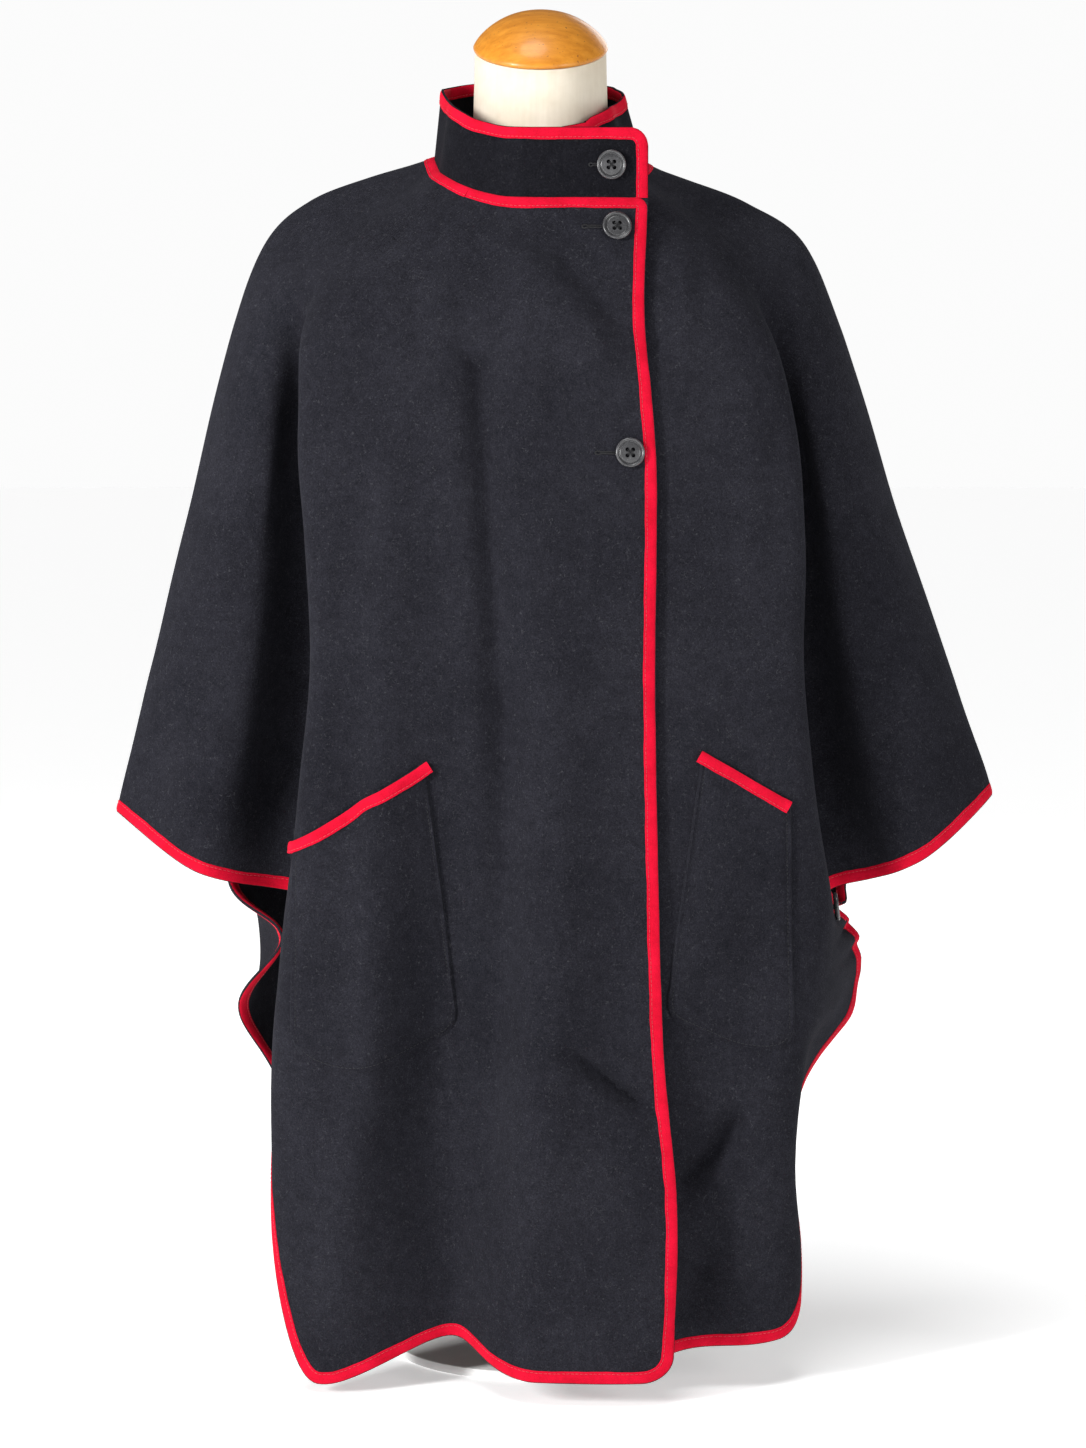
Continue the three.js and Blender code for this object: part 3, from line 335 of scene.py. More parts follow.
# Soft creases: a line as (x, z) points in millimetres, how wide it is to the +X and to
# the -X side of a line that runs down, and how far it stands out.
CREASES = {
    "front": [
        ([(-50, 955), (-44, 843), (-38, 763), (-32, 680), (-26, 545), (-28, 430),
          (-32, 362), (-40, 295), (-44, 228), (-44, 130)], 30, 13, -15.0),
        ([(-116, 820), (-123, 545), (-124, 522), (-136, 255),
          (-150, 206), (-159, 116), (-167, 30)], 26, 13, 8.0),
        ([(14, 640), (13, 420), (12, 300), (16, 120)], 26, 30, 7.0),
        ([(66, 560), (70, 420), (66, 300), (74, 190)], 22, 26, -4.0),
        ([(-30, 966), (27, 944), (60, 913), (84, 866)], 10, 16, -11.0),
        ([(-34, 934), (8, 908), (40, 874), (62, 826)], 17, 26, 9.5),
        ([(4, 966), (46, 942), (80, 902)], 8, 9, 2.5),
        ([(-96, 930), (-92, 850), (-88, 780)], 18, 20, 3.0),
        ([(-28, 940), (-24, 840), (-16, 700), (-8, 560)], 30, 13, 7.0),
        ([(-46, 972), (-22, 958), (0, 940)], 8, 12, -3.0),
        ([(-84, 960), (-96, 900), (-92, 820)], 14, 12, -4.0),
        ([(20, 296), (62, 262), (104, 232)], 4.5, 9, -12.0),
        ([(34, 268), (70, 240), (98, 222)], 9, 10, 5.0),
        ([(-156, 720), (-158, 560), (-160, 480)], 14, 18, -3.0),
        ([(104, 955), (102, 900), (102, 820)], 14, 26, -5.0),
        ([(134, 944), (140, 900), (142, 860)], 8, 10, -3.5),
        ([(176, 860), (180, 760), (178, 640)], 12, 20, 4.0),
        ([(184, 246), (152, 198), (116, 160)], 5, 12, -13.0),
        ([(170, 200), (140, 160), (124, 136)], 13, 12, 4.0),
        ([(146, 118), (134, 86), (128, 50)], 12, 18, -8.0),
        ([(172, 150), (164, 90), (160, 40)], 14, 12, 4.0),
        ([(150, 560), (152, 420), (148, 320)], 22, 26, 3.0),
        ([(-205, 960), (-232, 860), (-262, 720), (-296, 590), (-322, 500)], 22, 24, 5.0),
        ([(-196, 900), (-214, 780), (-238, 660), (-256, 540), (-270, 452)], 20, 20, -6.0),
        ([(-298, 570), (-318, 490), (-330, 470)], 14, 14, -3.5),
        ([(208, 955), (244, 860), (282, 720), (322, 590), (352, 500)], 24, 22, 5.0),
        ([(210, 900), (236, 780), (270, 640), (296, 530), (310, 452)], 20, 20, -6.0),
        ([(262, 470), (282, 430), (286, 404)], 12, 12, -3.0),
    ],
    "back": [
        ([(-34, 985), (-52, 900), (-60, 780)], 16, 13, -4.5),
        ([(30, 990), (48, 910), (52, 800)], 13, 16, -4.0),
        ([(-120, 700), (-132, 520), (-140, 330)], 16, 20, 4.0),
        ([(128, 640), (140, 470), (150, 300)], 20, 16, 4.2),
        ([(40, 330), (66, 250), (60, 160)], 13, 11, -4.5),
        ([(-70, 420), (-48, 300), (-52, 190)], 11, 13, -4.0),
    ],
}
# Faint waves all over: turns a millimetre along x and z, phase, size
WAVES = [
    (0.021, 0.013, 0.9, 0.7), (-0.034, 0.019, 2.1, 0.45),
    (0.058, -0.031, 4.0, 0.25), (0.013, 0.047, 5.3, 0.3),
]


def crease_height(points, rows):
    x, z = points[..., 0], points[..., 2]
    total = sum(size * np.sin(a * x + b * z + c) for a, b, c, size in WAVES)
    for line, left, right, out in rows:
        line = np.array(line, float)
        lengths = np.linalg.norm(np.diff(line, axis=0), axis=1)
        whole = lengths.sum()
        best = np.full(x.shape, 1e9)
        side, along = np.zeros(x.shape), np.zeros(x.shape)
        start = 0.0
        for a, b, length in zip(line[:-1], line[1:], lengths):
            dx, dz = (b - a) / length
            s = np.clip((x - a[0]) * dx + (z - a[1]) * dz, 0, length)
            px, pz = x - a[0] - s * dx, z - a[1] - s * dz
            away = np.hypot(px, pz)
            near = away < best
            best = np.where(near, away, best)
            side = np.where(near, dx * pz - dz * px, side)
            along = np.where(near, start + s, along)
            start += length
        width = np.where(side > 0, left, right)
        fade = min(0.35 * whole, 110)
        ends = smooth(along, 0, fade) * smooth(whole - along, 0, 0.7 * fade)
        total = total + out * ends * np.exp(-((best / width) ** 2))
    return total


# The groove between a front and a wing: its depth, half widths, the rings where it starts and is full,
# and how much shallower it is at the wing's hem
HOLLOW = {"depth": 44.0, "inner": 0.3, "outer": 0.62, "from": 2.2, "full": 5.0, "shallower": 0.8, "off": 0.12}


def hollow(w, v):
    """How much deeper the groove is between a front and a wing."""
    away = np.abs(w) - GROOVE - HOLLOW["off"]
    width = np.where(away < 0, HOLLOW["inner"], HOLLOW["outer"])
    growth = smooth(v, HOLLOW["from"], HOLLOW["full"])
    growth = growth * (1 - HOLLOW["shallower"] * smooth(v, WING_HEM_RING - 1, WING_HEM_RING))
    return HOLLOW["depth"] * growth * np.exp(-((away / width) ** 2))


CREASE_LIMIT = (2.6, 46.0)  # how deep a crease may be over the form's shoulders, and below them

# Puckers where a side edge is buttoned up: the edge's place, how far in they reach, rings, wave, size
PUCKERS = {
    "front_left": (GROOVE, 0.42, (7.9, 9.6), 0.46, 4.2),
    "front_right": (-GROOVE, 0.45, (7.9, 9.2), 0.5, 3.0),
    "back": (BACK_GROOVE, 0.5, (7.9, 9.6), 0.46, -5.0),
}


FLARE = {"rings": (9.7, 10.2, 11.1, 11.7), "in": (3.28, 0.3, -9.0), "out": (3.5, 3.9, 8.0)}


def flare(w, v):
    """The left front's side edge turns out below the button."""
    first, grown, last, gone = FLARE["rings"]
    place, width, depth = FLARE["in"]
    start, full, out = FLARE["out"]
    share = smooth(v, first, grown) * (1 - smooth(v, last, gone))
    return share * (depth * np.exp(-(((w - place) / width) ** 2)) + out * smooth(w, start, full))


def pucker(name, w, v):
    if name not in PUCKERS:
        return 0 * w
    edge, width, (first, last), wave, size = PUCKERS[name]
    grown = smooth(v, first, first + 0.4) * (1 - smooth(v, last - 0.8, last))
    return size * grown * np.exp(-(((w - edge) / width) ** 2)) * np.sin(2 * math.pi * (v - first) / wave)


def creased(point, v):
    """How far the creases lift each point of the coat's front or back."""
    front = smooth(-point[..., 1], -30, 10)
    height = crease_height(point, CREASES["front"]) * front
    height = height + crease_height(point, CREASES["back"]) * (1 - front)
    return height * smooth(v, 0.05, 0.5)


def dressed(surface, name, low, high, step):
    """A piece's surface with its creases, its hollow by the wing and its puckers."""

    def made(w, v):
        w, v = np.broadcast_arrays(w, v)
        point = surface(w, v)
        height = creased(point, v) - hollow(w, v) + pucker(name, w, v)
        if name == "front_left":
            height = height + flare(w, v)
        height = np.maximum(height, -lerp(*CREASE_LIMIT, smooth(v, 2.4, 3.5)))
        return point + height[..., None] * normal(surface, w, v)

    return frozen(made, low, high, step)


SURFACES = {
    "front_right": dressed(right_front, "front_right", (-4.4, -0.3), (1.6, 12.3), (0.03, 0.03)),
    "front_left": dressed(left_front, "front_left", (-0.8, -0.3), (4.4, 12.3), (0.03, 0.03)),
    "wing_right": dressed(base, "wing_right", (-9.3, -0.3), (-2.1, 8.4), (0.04, 0.04)),
    "wing_left": dressed(base, "wing_left", (2.1, -0.3), (9.3, 8.4), (0.04, 0.04)),
    "back": dressed(base, "back", (7.5, -0.3), (14.5, 12.3), (0.04, 0.04)),
    "collar": frozen(collar_surface, (-23.2, -0.4), (1.6, 1.3), (0.04, 0.05)),
}


# Meshes
def mesh_object(name, points, faces, material, flat_angle=None):
    mesh = bpy.data.meshes.new(name)
    mesh.from_pydata((np.asarray(points) * MM).tolist(), [], [tuple(f) for f in faces])
    mesh.validate()
    mesh.shade_smooth()
    if flat_angle is not None:
        mesh.set_sharp_from_angle(angle=math.radians(flat_angle))
    mesh.materials.append(material)
    piece = bpy.data.objects.new(name, mesh)
    bpy.context.scene.collection.objects.link(piece)
    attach(piece, BODY)
    return piece


def grid_faces(rows, cols, start=0, closed_rows=False, closed_cols=False, flip=False):
    faces = []
    for i in range(rows if closed_rows else rows - 1):
        for j in range(cols if closed_cols else cols - 1):
            a, b = start + i * cols + j, start + i * cols + (j + 1) % cols
            c, d = start + (i + 1) % rows * cols + (j + 1) % cols, start + (i + 1) % rows * cols + j
            faces.append((a, b, c, d) if flip else (a, d, c, b))
    return faces


def cloth_mesh(name, outer, inner, material):
    """A closed wall from a grid of outer points and one of inner points."""
    rows, cols = outer.shape[:2]
    half = rows * cols
    faces = grid_faces(rows, cols) + grid_faces(rows, cols, half, flip=True)
    rim = [(0, j) for j in range(cols)] + [(i, cols - 1) for i in range(1, rows)]
    rim += [(rows - 1, j) for j in range(cols - 2, -1, -1)] + [(i, 0) for i in range(rows - 2, 0, -1)]
    rim = [i * cols + j for i, j in rim]
    for a, b in zip(rim, rim[1:] + rim[:1]):
        faces.append((a, b, half + b, half + a))
    points = np.concatenate([outer.reshape(-1, 3), inner.reshape(-1, 3)])
    return mesh_object(name, points, faces, material, 60)


def run_along(points):
    """The distance along a line of points up to each of them."""
    return np.concatenate([[0], np.cumsum(np.linalg.norm(np.diff(points, axis=0), axis=1))])


def sewn_cloth(name, outer, inner, material="coating"):
    """A cloth wall in place of the node that its name starts with."""
    piece = cloth_mesh(name, outer, inner, MATERIALS[material])
    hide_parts(name.removesuffix("_cloth"))
    return piece


def resampled(w, v, surface, step):
    """A line of places at even distances along the surface."""
    w, v = np.asarray(w, float), np.asarray(v, float)
    fine = np.linspace(0, len(w) - 1, 12 * (len(w) - 1) + 1)
    w, v = np.interp(fine, np.arange(len(w)), w), np.interp(fine, np.arange(len(v)), v)
    points = surface(w, v)
    run = run_along(points)
    count = max(2, int(round(run[-1] / step)))
    marks = np.linspace(0, run[-1], count + 1)
    return np.interp(marks, run, w), np.interp(marks, run, v)


def slopes(surface, w, v, h=0.01):
    """How a surface's point moves with w and with v."""
    across = (surface(w + h, v) - surface(w - h, v)) / (2 * h)
    down = (surface(w, v + h) - surface(w, v - h)) / (2 * h)
    return across, down


def stepped(surface, w, v, move):
    """The place reached from w, v by a small move in space."""
    across, down = slopes(surface, w, v)
    aa, ad, dd = (across**2).sum(-1), (across * down).sum(-1), (down**2).sum(-1)
    ma, md = (move * across).sum(-1), (move * down).sum(-1)
    det = aa * dd - ad * ad
    return w + (ma * dd - md * ad) / det, v + (md * aa - ma * ad) / det


def sideways(surface, w, v):
    """Across a line, to its left as seen from outside, and along it."""
    points = surface(w, v)
    along = unit(np.gradient(points, axis=0))
    return unit(np.cross(normal(surface, w, v), along)), along


def offset(surface, w, v, distance, parts=2):
    side, _ = sideways(surface, w, v)
    for _ in range(parts):
        w, v = stepped(surface, w, v, side * distance / parts)
    return w, v


UNEVEN = ((70, 1.0), (31, 0.6), (13, 0.35))  # wave length and size


def noise_line(count, step, seed):
    """A smooth uneven line of values, the same at each run."""
    s = np.arange(count) * step
    waves = enumerate(UNEVEN)
    return sum(size * np.sin(2 * math.pi * s / wave + seed * (n + 1.7)) for n, (wave, size) in waves)


# The binding's section: distance in from the cloth's edge and height off its middle, on the outer
# side. The stitching sinks in near the inner edge.
TAPE_STEP = 4.0
TAPE_SECTION = [
    (10.0, 0.9), (10.05, 1.45), (9.7, 1.78), (9.1, 1.8), (8.5, 1.55), (8.1, 1.5), (7.6, 1.68),
    (6.4, 1.92), (4.4, 2.0), (2.6, 1.9), (1.2, 1.6), (0.4, 1.05), (0.05, 0.4),
]
STITCH_IN = 8.25
STITCH_OUT = 1.62


def tape(name, surface, w, v, seed):
    """A binding along a line that has the cloth on its left, with its stitching."""
    w, v = resampled(w, v, surface, TAPE_STEP)
    lines = [(w, v)] + [offset(surface, w, v, TAPE_WIDTH * share) for share in (0.5, 1.0)]
    points = [surface(*line) for line in lines]
    normals = [normal(surface, *line) for line in lines]

    def at(inwards, height):
        t = (np.asarray(inwards, float) / TAPE_WIDTH)[..., None]
        parts = [2 * (t - 0.5) * (t - 1), 4 * t * (1 - t), 2 * t * (t - 0.5)]
        place = sum(p * q for p, q in zip(parts, points))
        out = unit(sum(p * q for p, q in zip(parts, normals)))
        return place + np.asarray(height)[..., None] * out, out

    wave = noise_line(len(w), TAPE_STEP, seed)
    lift = noise_line(len(w), TAPE_STEP, seed + 3.1)
    loop = TAPE_SECTION + [(u, -h) for u, h in reversed(TAPE_SECTION)]
    rings = []
    for u, h in loop:
        share = u / TAPE_WIDTH
        rings.append(at(u + 0.22 * wave * share, (h + 0.06 * lift * np.sign(h)))[0])
    rings = np.array(rings).transpose(1, 0, 2)
    count, sides = rings.shape[:2]
    faces = grid_faces(count, sides, closed_cols=True)
    faces += [tuple(range(sides - 1, -1, -1)), tuple(range((count - 1) * sides, count * sides))]
    piece = mesh_object(name, rings.reshape(-1, 3), faces, MATERIALS["binding"], 50)
    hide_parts(name.replace("_tape", "_binding"))
    rows = []
    for sign in (1, -1):
        line, out = at(STITCH_IN + 0.22 * wave, np.full(len(w), sign * STITCH_OUT))
        rows.append((line, sign * out))
    stitching = stitches(f"{name}_stitching", rows, MATERIALS["thread"])
    return piece, stitching


EDGE_STITCH = (3.7, 2.7, 0.3)  # pitch, length and radius
POCKET_STITCH = (3.4, 2.5, 0.34)
HOLE_STITCH = (0.9, 1.5, 0.34)
STITCH_SIDES = 5
STITCH_SHAPE = [(-0.5, -0.35, 0.75), (-0.28, 0.5, 1.0), (0.28, 0.5, 1.0), (0.5, -0.35, 0.75)]
STITCH_TURN = 0.06


def stitches(name, lines, material, kind=EDGE_STITCH):
    """Rows of thread stitches: each line is its points and the direction off the cloth there."""
    pitch, length, radius = kind
    shape, sides = STITCH_SHAPE, STITCH_SIDES
    points, faces = [], []
    for line, out in lines:
        run = run_along(line)
        marks = np.arange(pitch / 2, run[-1] - pitch / 2, pitch)
        if len(marks) < 2:
            continue
        centre = np.stack([np.interp(marks, run, line[:, n]) for n in range(3)], axis=1)
        away = unit(np.stack([np.interp(marks, run, out[:, n]) for n in range(3)], axis=1))
        along = unit(np.gradient(centre, axis=0))
        side = unit(np.cross(along, away))
        turn = STITCH_TURN * np.sin(np.arange(len(marks)) * 2.4)
        along = along + turn[:, None] * side
        rings = []
        for share, height, thick in shape:
            for n in range(sides):
                angle = 2 * math.pi * n / sides
                rings.append(
                    centre
                    + share * length * along
                    + radius * (height + thick * math.sin(angle)) * away
                    + radius * thick * math.cos(angle) * side
                )
        start = sum(len(p) for p in points)
        block = np.array(rings).transpose(1, 0, 2)
        size = len(shape) * sides
        for m in range(len(marks)):
            faces += grid_faces(len(shape), sides, start + m * size, closed_cols=True)
        points.append(block.reshape(-1, 3))
    return mesh_object(name, np.concatenate(points), faces, material)


# Materials
def material(name, roughness, specular):
    made = bpy.data.materials.new(name)
    made.use_nodes = True
    shader = made.node_tree.nodes["Principled BSDF"]
    shader.inputs["Roughness"].default_value = roughness
    shader.inputs["Specular IOR Level"].default_value = specular
    return made, made.node_tree, shader


def node(tree, kind, inputs=None, **settings):
    made = tree.nodes.new(kind)
    for key, value in settings.items():
        setattr(made, key, value)
    for key, value in (inputs or {}).items():
        if isinstance(value, bpy.types.NodeSocket):
            tree.links.new(value, made.inputs[key])
        else:
            made.inputs[key].default_value = value
    return made


def object_coordinates(tree, scale=(1, 1, 1)):
    place = node(tree, "ShaderNodeTexCoord").outputs["Object"]
    return node(tree, "ShaderNodeMapping", {"Vector": place, "Scale": scale}).outputs["Vector"]


def noise(tree, vector, scale, detail=3.0, roughness=0.6):
    inputs = {"Vector": vector, "Scale": scale, "Detail": detail, "Roughness": roughness}
    return node(tree, "ShaderNodeTexNoise", inputs).outputs["Fac"]


def ramp(tree, factor, stops):
    made = node(tree, "ShaderNodeValToRGB", {"Fac": factor})
    elements = made.color_ramp.elements
    while len(elements) < len(stops):
        elements.new(0.5)
    for element, (place, colour) in zip(elements, stops):
        element.position = place
        element.color = (*colour, 1) if len(colour) == 3 else colour
    return made.outputs["Color"]


def greys(tree, factor, *stops):
    return ramp(tree, factor, [(place, (level, level, level)) for place, level in stops])


def mixed(tree, factor, a, b, kind="MIX"):
    made = node(tree, "ShaderNodeMix", data_type="RGBA", blend_type=kind)
    for key, value in (("Factor", factor), ("A", a), ("B", b)):
        socket = [s for s in made.inputs if s.name == key and (s.type == "VALUE") == (key == "Factor")]
        socket = [s for s in socket if s.enabled][0]
        if isinstance(value, bpy.types.NodeSocket):
            tree.links.new(value, socket)
        else:
            socket.default_value = value if key == "Factor" else (*value, 1)
    return [s for s in made.outputs if s.enabled][0]


def bump(tree, shader, height, strength, distance, before=None):
    inputs = {"Height": height, "Strength": strength, "Distance": distance}
    if before is not None:
        inputs["Normal"] = before
    made = node(tree, "ShaderNodeBump", inputs).outputs["Normal"]
    tree.links.new(made, shader.inputs["Normal"])
    return made


COATING_TONES = [(0.0118, 0.0118, 0.0156), (0.0168, 0.0168, 0.0218)]
FIBRE_TONE = (0.04, 0.04, 0.046)


def coating(name="coating", shade=1.0):
    """Felted wool: mottled dark navy with fine light fibres."""
    made, tree, shader = material(name, roughness=1.0, specular=0.04)
    shader.inputs["Sheen Weight"].default_value = 0.03
    shader.inputs["Sheen Roughness"].default_value = 0.5
    shader.inputs["Sheen Tint"].default_value = (0.7, 0.72, 0.85, 1)
    here = object_coordinates(tree)
    cloudy = noise(tree, here, 9, 2)
    mottled = noise(tree, here, 760, 4, 0.7)
    grain = noise(tree, here, 1900, 2)
    nap = noise(tree, object_coordinates(tree, (1, 1, 0.3)), 1100, 2)
    # a shade below 1 scales all the colours down, as painted shade
    low, high = [tuple(shade * c for c in tone) for tone in COATING_TONES]
    colour = ramp(tree, cloudy, [(0.32, low), (0.68, high)])
    blotches = greys(tree, noise(tree, here, 105, 3, 0.65), (0.3, 0.76), (0.7, 1.24))
    colour = mixed(tree, 0.7, colour, blotches, "MULTIPLY")
    tone = greys(tree, mottled, (0.35, 0.4), (0.65, 1.6))
    colour = mixed(tree, 0.6, colour, tone, "MULTIPLY")
    tone = greys(tree, grain, (0.3, 0.35), (0.75, 2.0))
    colour = mixed(tree, 0.5, colour, tone, "MULTIPLY")
    curls = noise(tree, here, 300, 1, 0.5)
    curls = greys(tree, curls, (0.475, 0), (0.5, 1), (0.525, 0))
    broken = greys(tree, noise(tree, here, 330, 1), (0.5, 0), (0.6, 1))
    fibres = mixed(tree, 1.0, curls, broken, "MULTIPLY")
    colour = mixed(tree, fibres, colour, tuple(shade * c for c in FIBRE_TONE))
    tree.links.new(colour, shader.inputs["Base Color"])
    first = bump(tree, shader, nap, 0.5, 0.0006)
    second = bump(tree, shader, mottled, 0.4, 0.0007, first)
    bump(tree, shader, grain, 0.5, 0.0004, second)
    return made


def red_binding():
    made, tree, shader = material("binding", roughness=0.9, specular=0.1)
    shader.inputs["Sheen Weight"].default_value = 0.02
    shader.inputs["Sheen Roughness"].default_value = 0.4
    shader.inputs["Sheen Tint"].default_value = (1.0, 0.4, 0.45, 1)
    here = object_coordinates(tree)
    cloudy = noise(tree, here, 60, 3)
    grain = noise(tree, here, 1400, 3)
    colour = ramp(tree, cloudy, [(0.3, (0.5, 0.002, 0.018)), (0.7, (0.64, 0.004, 0.029))])
    colour = mixed(tree, 0.5, colour, greys(tree, grain, (0.3, 0.62), (0.7, 1.3)), "MULTIPLY")
    tree.links.new(colour, shader.inputs["Base Color"])
    bump(tree, shader, grain, 0.5, 0.0005)
    return made


def thread(name, dark, light):
    made, tree, shader = material(name, roughness=0.55, specular=0.4)
    here = object_coordinates(tree)
    colour = ramp(tree, noise(tree, here, 900, 2), [(0.3, dark), (0.7, light)])
    tree.links.new(colour, shader.inputs["Base Color"])
    twist = node(tree, "ShaderNodeTexWave", {"Vector": here, "Scale": 900.0, "Distortion": 2.0})
    bump(tree, shader, twist.outputs["Fac"], 0.4, 0.0001)
    return made


def button_plastic():
    made, tree, shader = material("button", roughness=0.2, specular=0.8)
    here = object_coordinates(tree)
    tones = [(0.3, (0.034, 0.034, 0.036)), (0.75, (0.068, 0.068, 0.072))]
    colour = ramp(tree, noise(tree, here, 130, 4), tones)
    tree.links.new(colour, shader.inputs["Base Color"])
    limits = {"Value": noise(tree, here, 300, 3), "To Min": 0.2, "To Max": 0.34}
    rough = node(tree, "ShaderNodeMapRange", limits)
    tree.links.new(rough.outputs["Result"], shader.inputs["Roughness"])
    bump(tree, shader, noise(tree, here, 700, 2), 0.08, 0.0001)
    return made


def linen():
    made, tree, shader = material("linen", roughness=0.9, specular=0.2)
    here = object_coordinates(tree)
    yarn = {"Vector": here, "Scale": 520.0, "Distortion": 1.2, "Detail": 2.0}
    weft, warp = [
        node(tree, "ShaderNodeTexWave", yarn, bands_direction=way).outputs["Fac"] for way in ("Z", "X")
    ]
    weave = node(tree, "ShaderNodeMath", {0: weft, 1: warp}, operation="MULTIPLY").outputs[0]
    cloudy = noise(tree, here, 24, 4)
    colour = ramp(tree, cloudy, [(0.3, (0.68, 0.60, 0.47)), (0.7, (0.80, 0.73, 0.61))])
    slub = noise(tree, object_coordinates(tree, (1, 1, 0.08)), 260, 2)
    tone = ramp(tree, slub, [(0.35, (0.8, 0.78, 0.72)), (0.7, (1.1, 1.1, 1.1))])
    colour = mixed(tree, 0.15, colour, tone, "MULTIPLY")
    tree.links.new(colour, shader.inputs["Base Color"])
    bump(tree, shader, weave, 0.3, 0.0003)
    return made


def varnished_wood():
    made, tree, shader = material("wood", roughness=0.42, specular=0.35)
    shader.inputs["Coat Weight"].default_value = 0.2
    shader.inputs["Coat Roughness"].default_value = 0.14
    here = object_coordinates(tree, (1, 6, 6))
    grain = noise(tree, here, 28, 6, 0.65)
    tones = [(0.3, (0.50, 0.17, 0.012)), (0.55, (0.64, 0.245, 0.022)), (0.75, (0.72, 0.30, 0.034))]
    colour = ramp(tree, grain, tones)
    specks = greys(tree, noise(tree, object_coordinates(tree), 420, 2, 0.5), (0.66, 0), (0.72, 1))
    colour = mixed(tree, specks, colour, (0.28, 0.10, 0.025))
    tree.links.new(colour, shader.inputs["Base Color"])
    bump(tree, shader, grain, 0.12, 0.0006)
    return made


def painted_metal():
    made, tree, shader = material("plate", roughness=0.45, specular=0.4)
    here = object_coordinates(tree)
    colour = ramp(tree, noise(tree, here, 18, 3), [(0.3, (0.78, 0.78, 0.77)), (0.7, (0.84, 0.84, 0.83))])
    tree.links.new(colour, shader.inputs["Base Color"])
    bump(tree, shader, noise(tree, here, 900, 2), 0.1, 0.0002)
    return made


MATERIALS = {
    "coating": coating(),
    # the collar gets a copy of the coating with every colour at 0.52: painted shade
    "collar": coating("coating_collar_painted_shade", 0.52),
    "binding": red_binding(),
    "thread": thread("red_thread", (0.42, 0.012, 0.03), (0.68, 0.06, 0.08)),
    "dark_thread": thread("dark_thread", (0.002, 0.002, 0.003), (0.006, 0.006, 0.008)),
    "button": button_plastic(),
    "linen": linen(),
    "wood": varnished_wood(),
    "plate": painted_metal(),
}


# Outlines of the panels
def front_seam(v):
    return lerp(2.45, GROOVE, smooth(v, 1.5, 6.5))


def back_seam(v):
    return lerp(8.9, BACK_GROOVE, smooth(v, 1.5, 6.5))


def side_edge(at):
    return lambda v: lerp(GROOVE, at, smooth(v, 9.5, HEM_RING))


ROWS = (110, 66, 14)  # to the wing's hem, to the corner, and round each half of it
SEAM = {"width": 2.0, "sunk": 1.1, "thin": 0.7}  # how a raglan seam draws the cloth in
NEAR_SEAM = [0.5, 1.1, 1.9, 3.0, 4.6, 7.0]  # distances of the columns next to a seam


def outline_side(edge, radius_w, radius_v):
    """A panel's side down to the middle of its rounded corner, and the corner's other half."""
    upper, lower, bend = ROWS
    v = np.concatenate([
        np.linspace(0, WING_HEM_RING, upper + 1),
        np.linspace(WING_HEM_RING, HEM_RING - radius_v, lower + 1)[1:],
    ])
    angle = np.linspace(0, math.pi / 2, 2 * bend + 1)
    corner_v = HEM_RING - radius_v * (1 - np.sin(angle))
    corner_w = np.array([edge(x) for x in corner_v]) + radius_w * (1 - np.cos(angle))
    side = (
        np.concatenate([[edge(x) for x in v], corner_w[1:bend + 1]]),
        np.concatenate([v, corner_v[1:bend + 1]]),
    )
    return side, (corner_w[bend:], corner_v[bend:])


def spread(count, width, seams):
    """Shares across a panel, closer together next to a seam."""
    even = list(np.linspace(0, 1, count + 1))
    close = np.array(NEAR_SEAM) / width
    if seams[0]:
        even = [0, *close, *[x for x in even if x > close[-1] * 1.2]]
    if seams[1]:
        even = [x for x in even if x < 1 - close[-1] * 1.2] + [*(1 - close[::-1]), 1]
    return np.array(even)


def filled(top, bottom, left, right, a, b):
    """Places inside four lines of them, at shares a across and the rows of the sides."""
    a, b = a[None, :], b[:, None]
    made = []
    for n in (0, 1):
        t, u, l, r = top[n][None, :], bottom[n][None, :], left[n][:, None], right[n][:, None]
        sides = lerp(l, r, a) + lerp(t, u, b)
        made.append(sides - lerp(lerp(t[:, :1], t[:, -1:], a), lerp(u[:, :1], u[:, -1:], a), b))
    return made


def drawn_in(points, out, thick, away, fade=1.0):
    """Sinks and thins the cloth next to a seam, by its distance away in millimetres."""
    sunk = np.exp(-((away / SEAM["width"]) ** 2)) * fade
    return points - (SEAM["sunk"] * sunk)[..., None] * out, thick - SEAM["thin"] * sunk


def panel(name, surface, left, right, count, width):
    """left and right: (edge function, corner radii in places, whether its upper part is a seam)."""
    side_a, hem_a = outline_side(left[0], left[1][0], left[1][1])
    side_b, hem_b = outline_side(right[0], -right[1][0], right[1][1])
    across = spread(count, width, (left[2], right[2]))
    top = (lerp(side_a[0][0], side_b[0][0], across), np.zeros(len(across)))
    hem_w = np.concatenate([hem_a[0], hem_b[0][::-1]])
    hem_v = np.concatenate([hem_a[1], hem_b[1][::-1]])
    marks = np.concatenate([np.linspace(0, 0.12, len(hem_a[0])), np.linspace(0.88, 1, len(hem_b[0]))])
    bottom = (np.interp(across, marks, hem_w), np.interp(across, marks, hem_v))
    rows = len(side_a[0])
    down = np.linspace(0, 1, rows)
    w, v = filled(top, bottom, side_a, side_b, across, down)
    points = surface(w, v)
    out = normal(surface, w, v)
    thick = np.full(w.shape, CLOTH / 2)
    for seam, share in ((left[2], across), (right[2], 1 - across)):
        if seam:
            fade = (1 - smooth(down * rows, ROWS[0] - 4, ROWS[0]))[:, None]
            points, thick = drawn_in(points, out, thick, share * width, fade)
    piece = sewn_cloth(name, points + thick[..., None] * out, points - CLOTH / 2 * out)
    return piece, (side_a, side_b, (hem_w, hem_v))


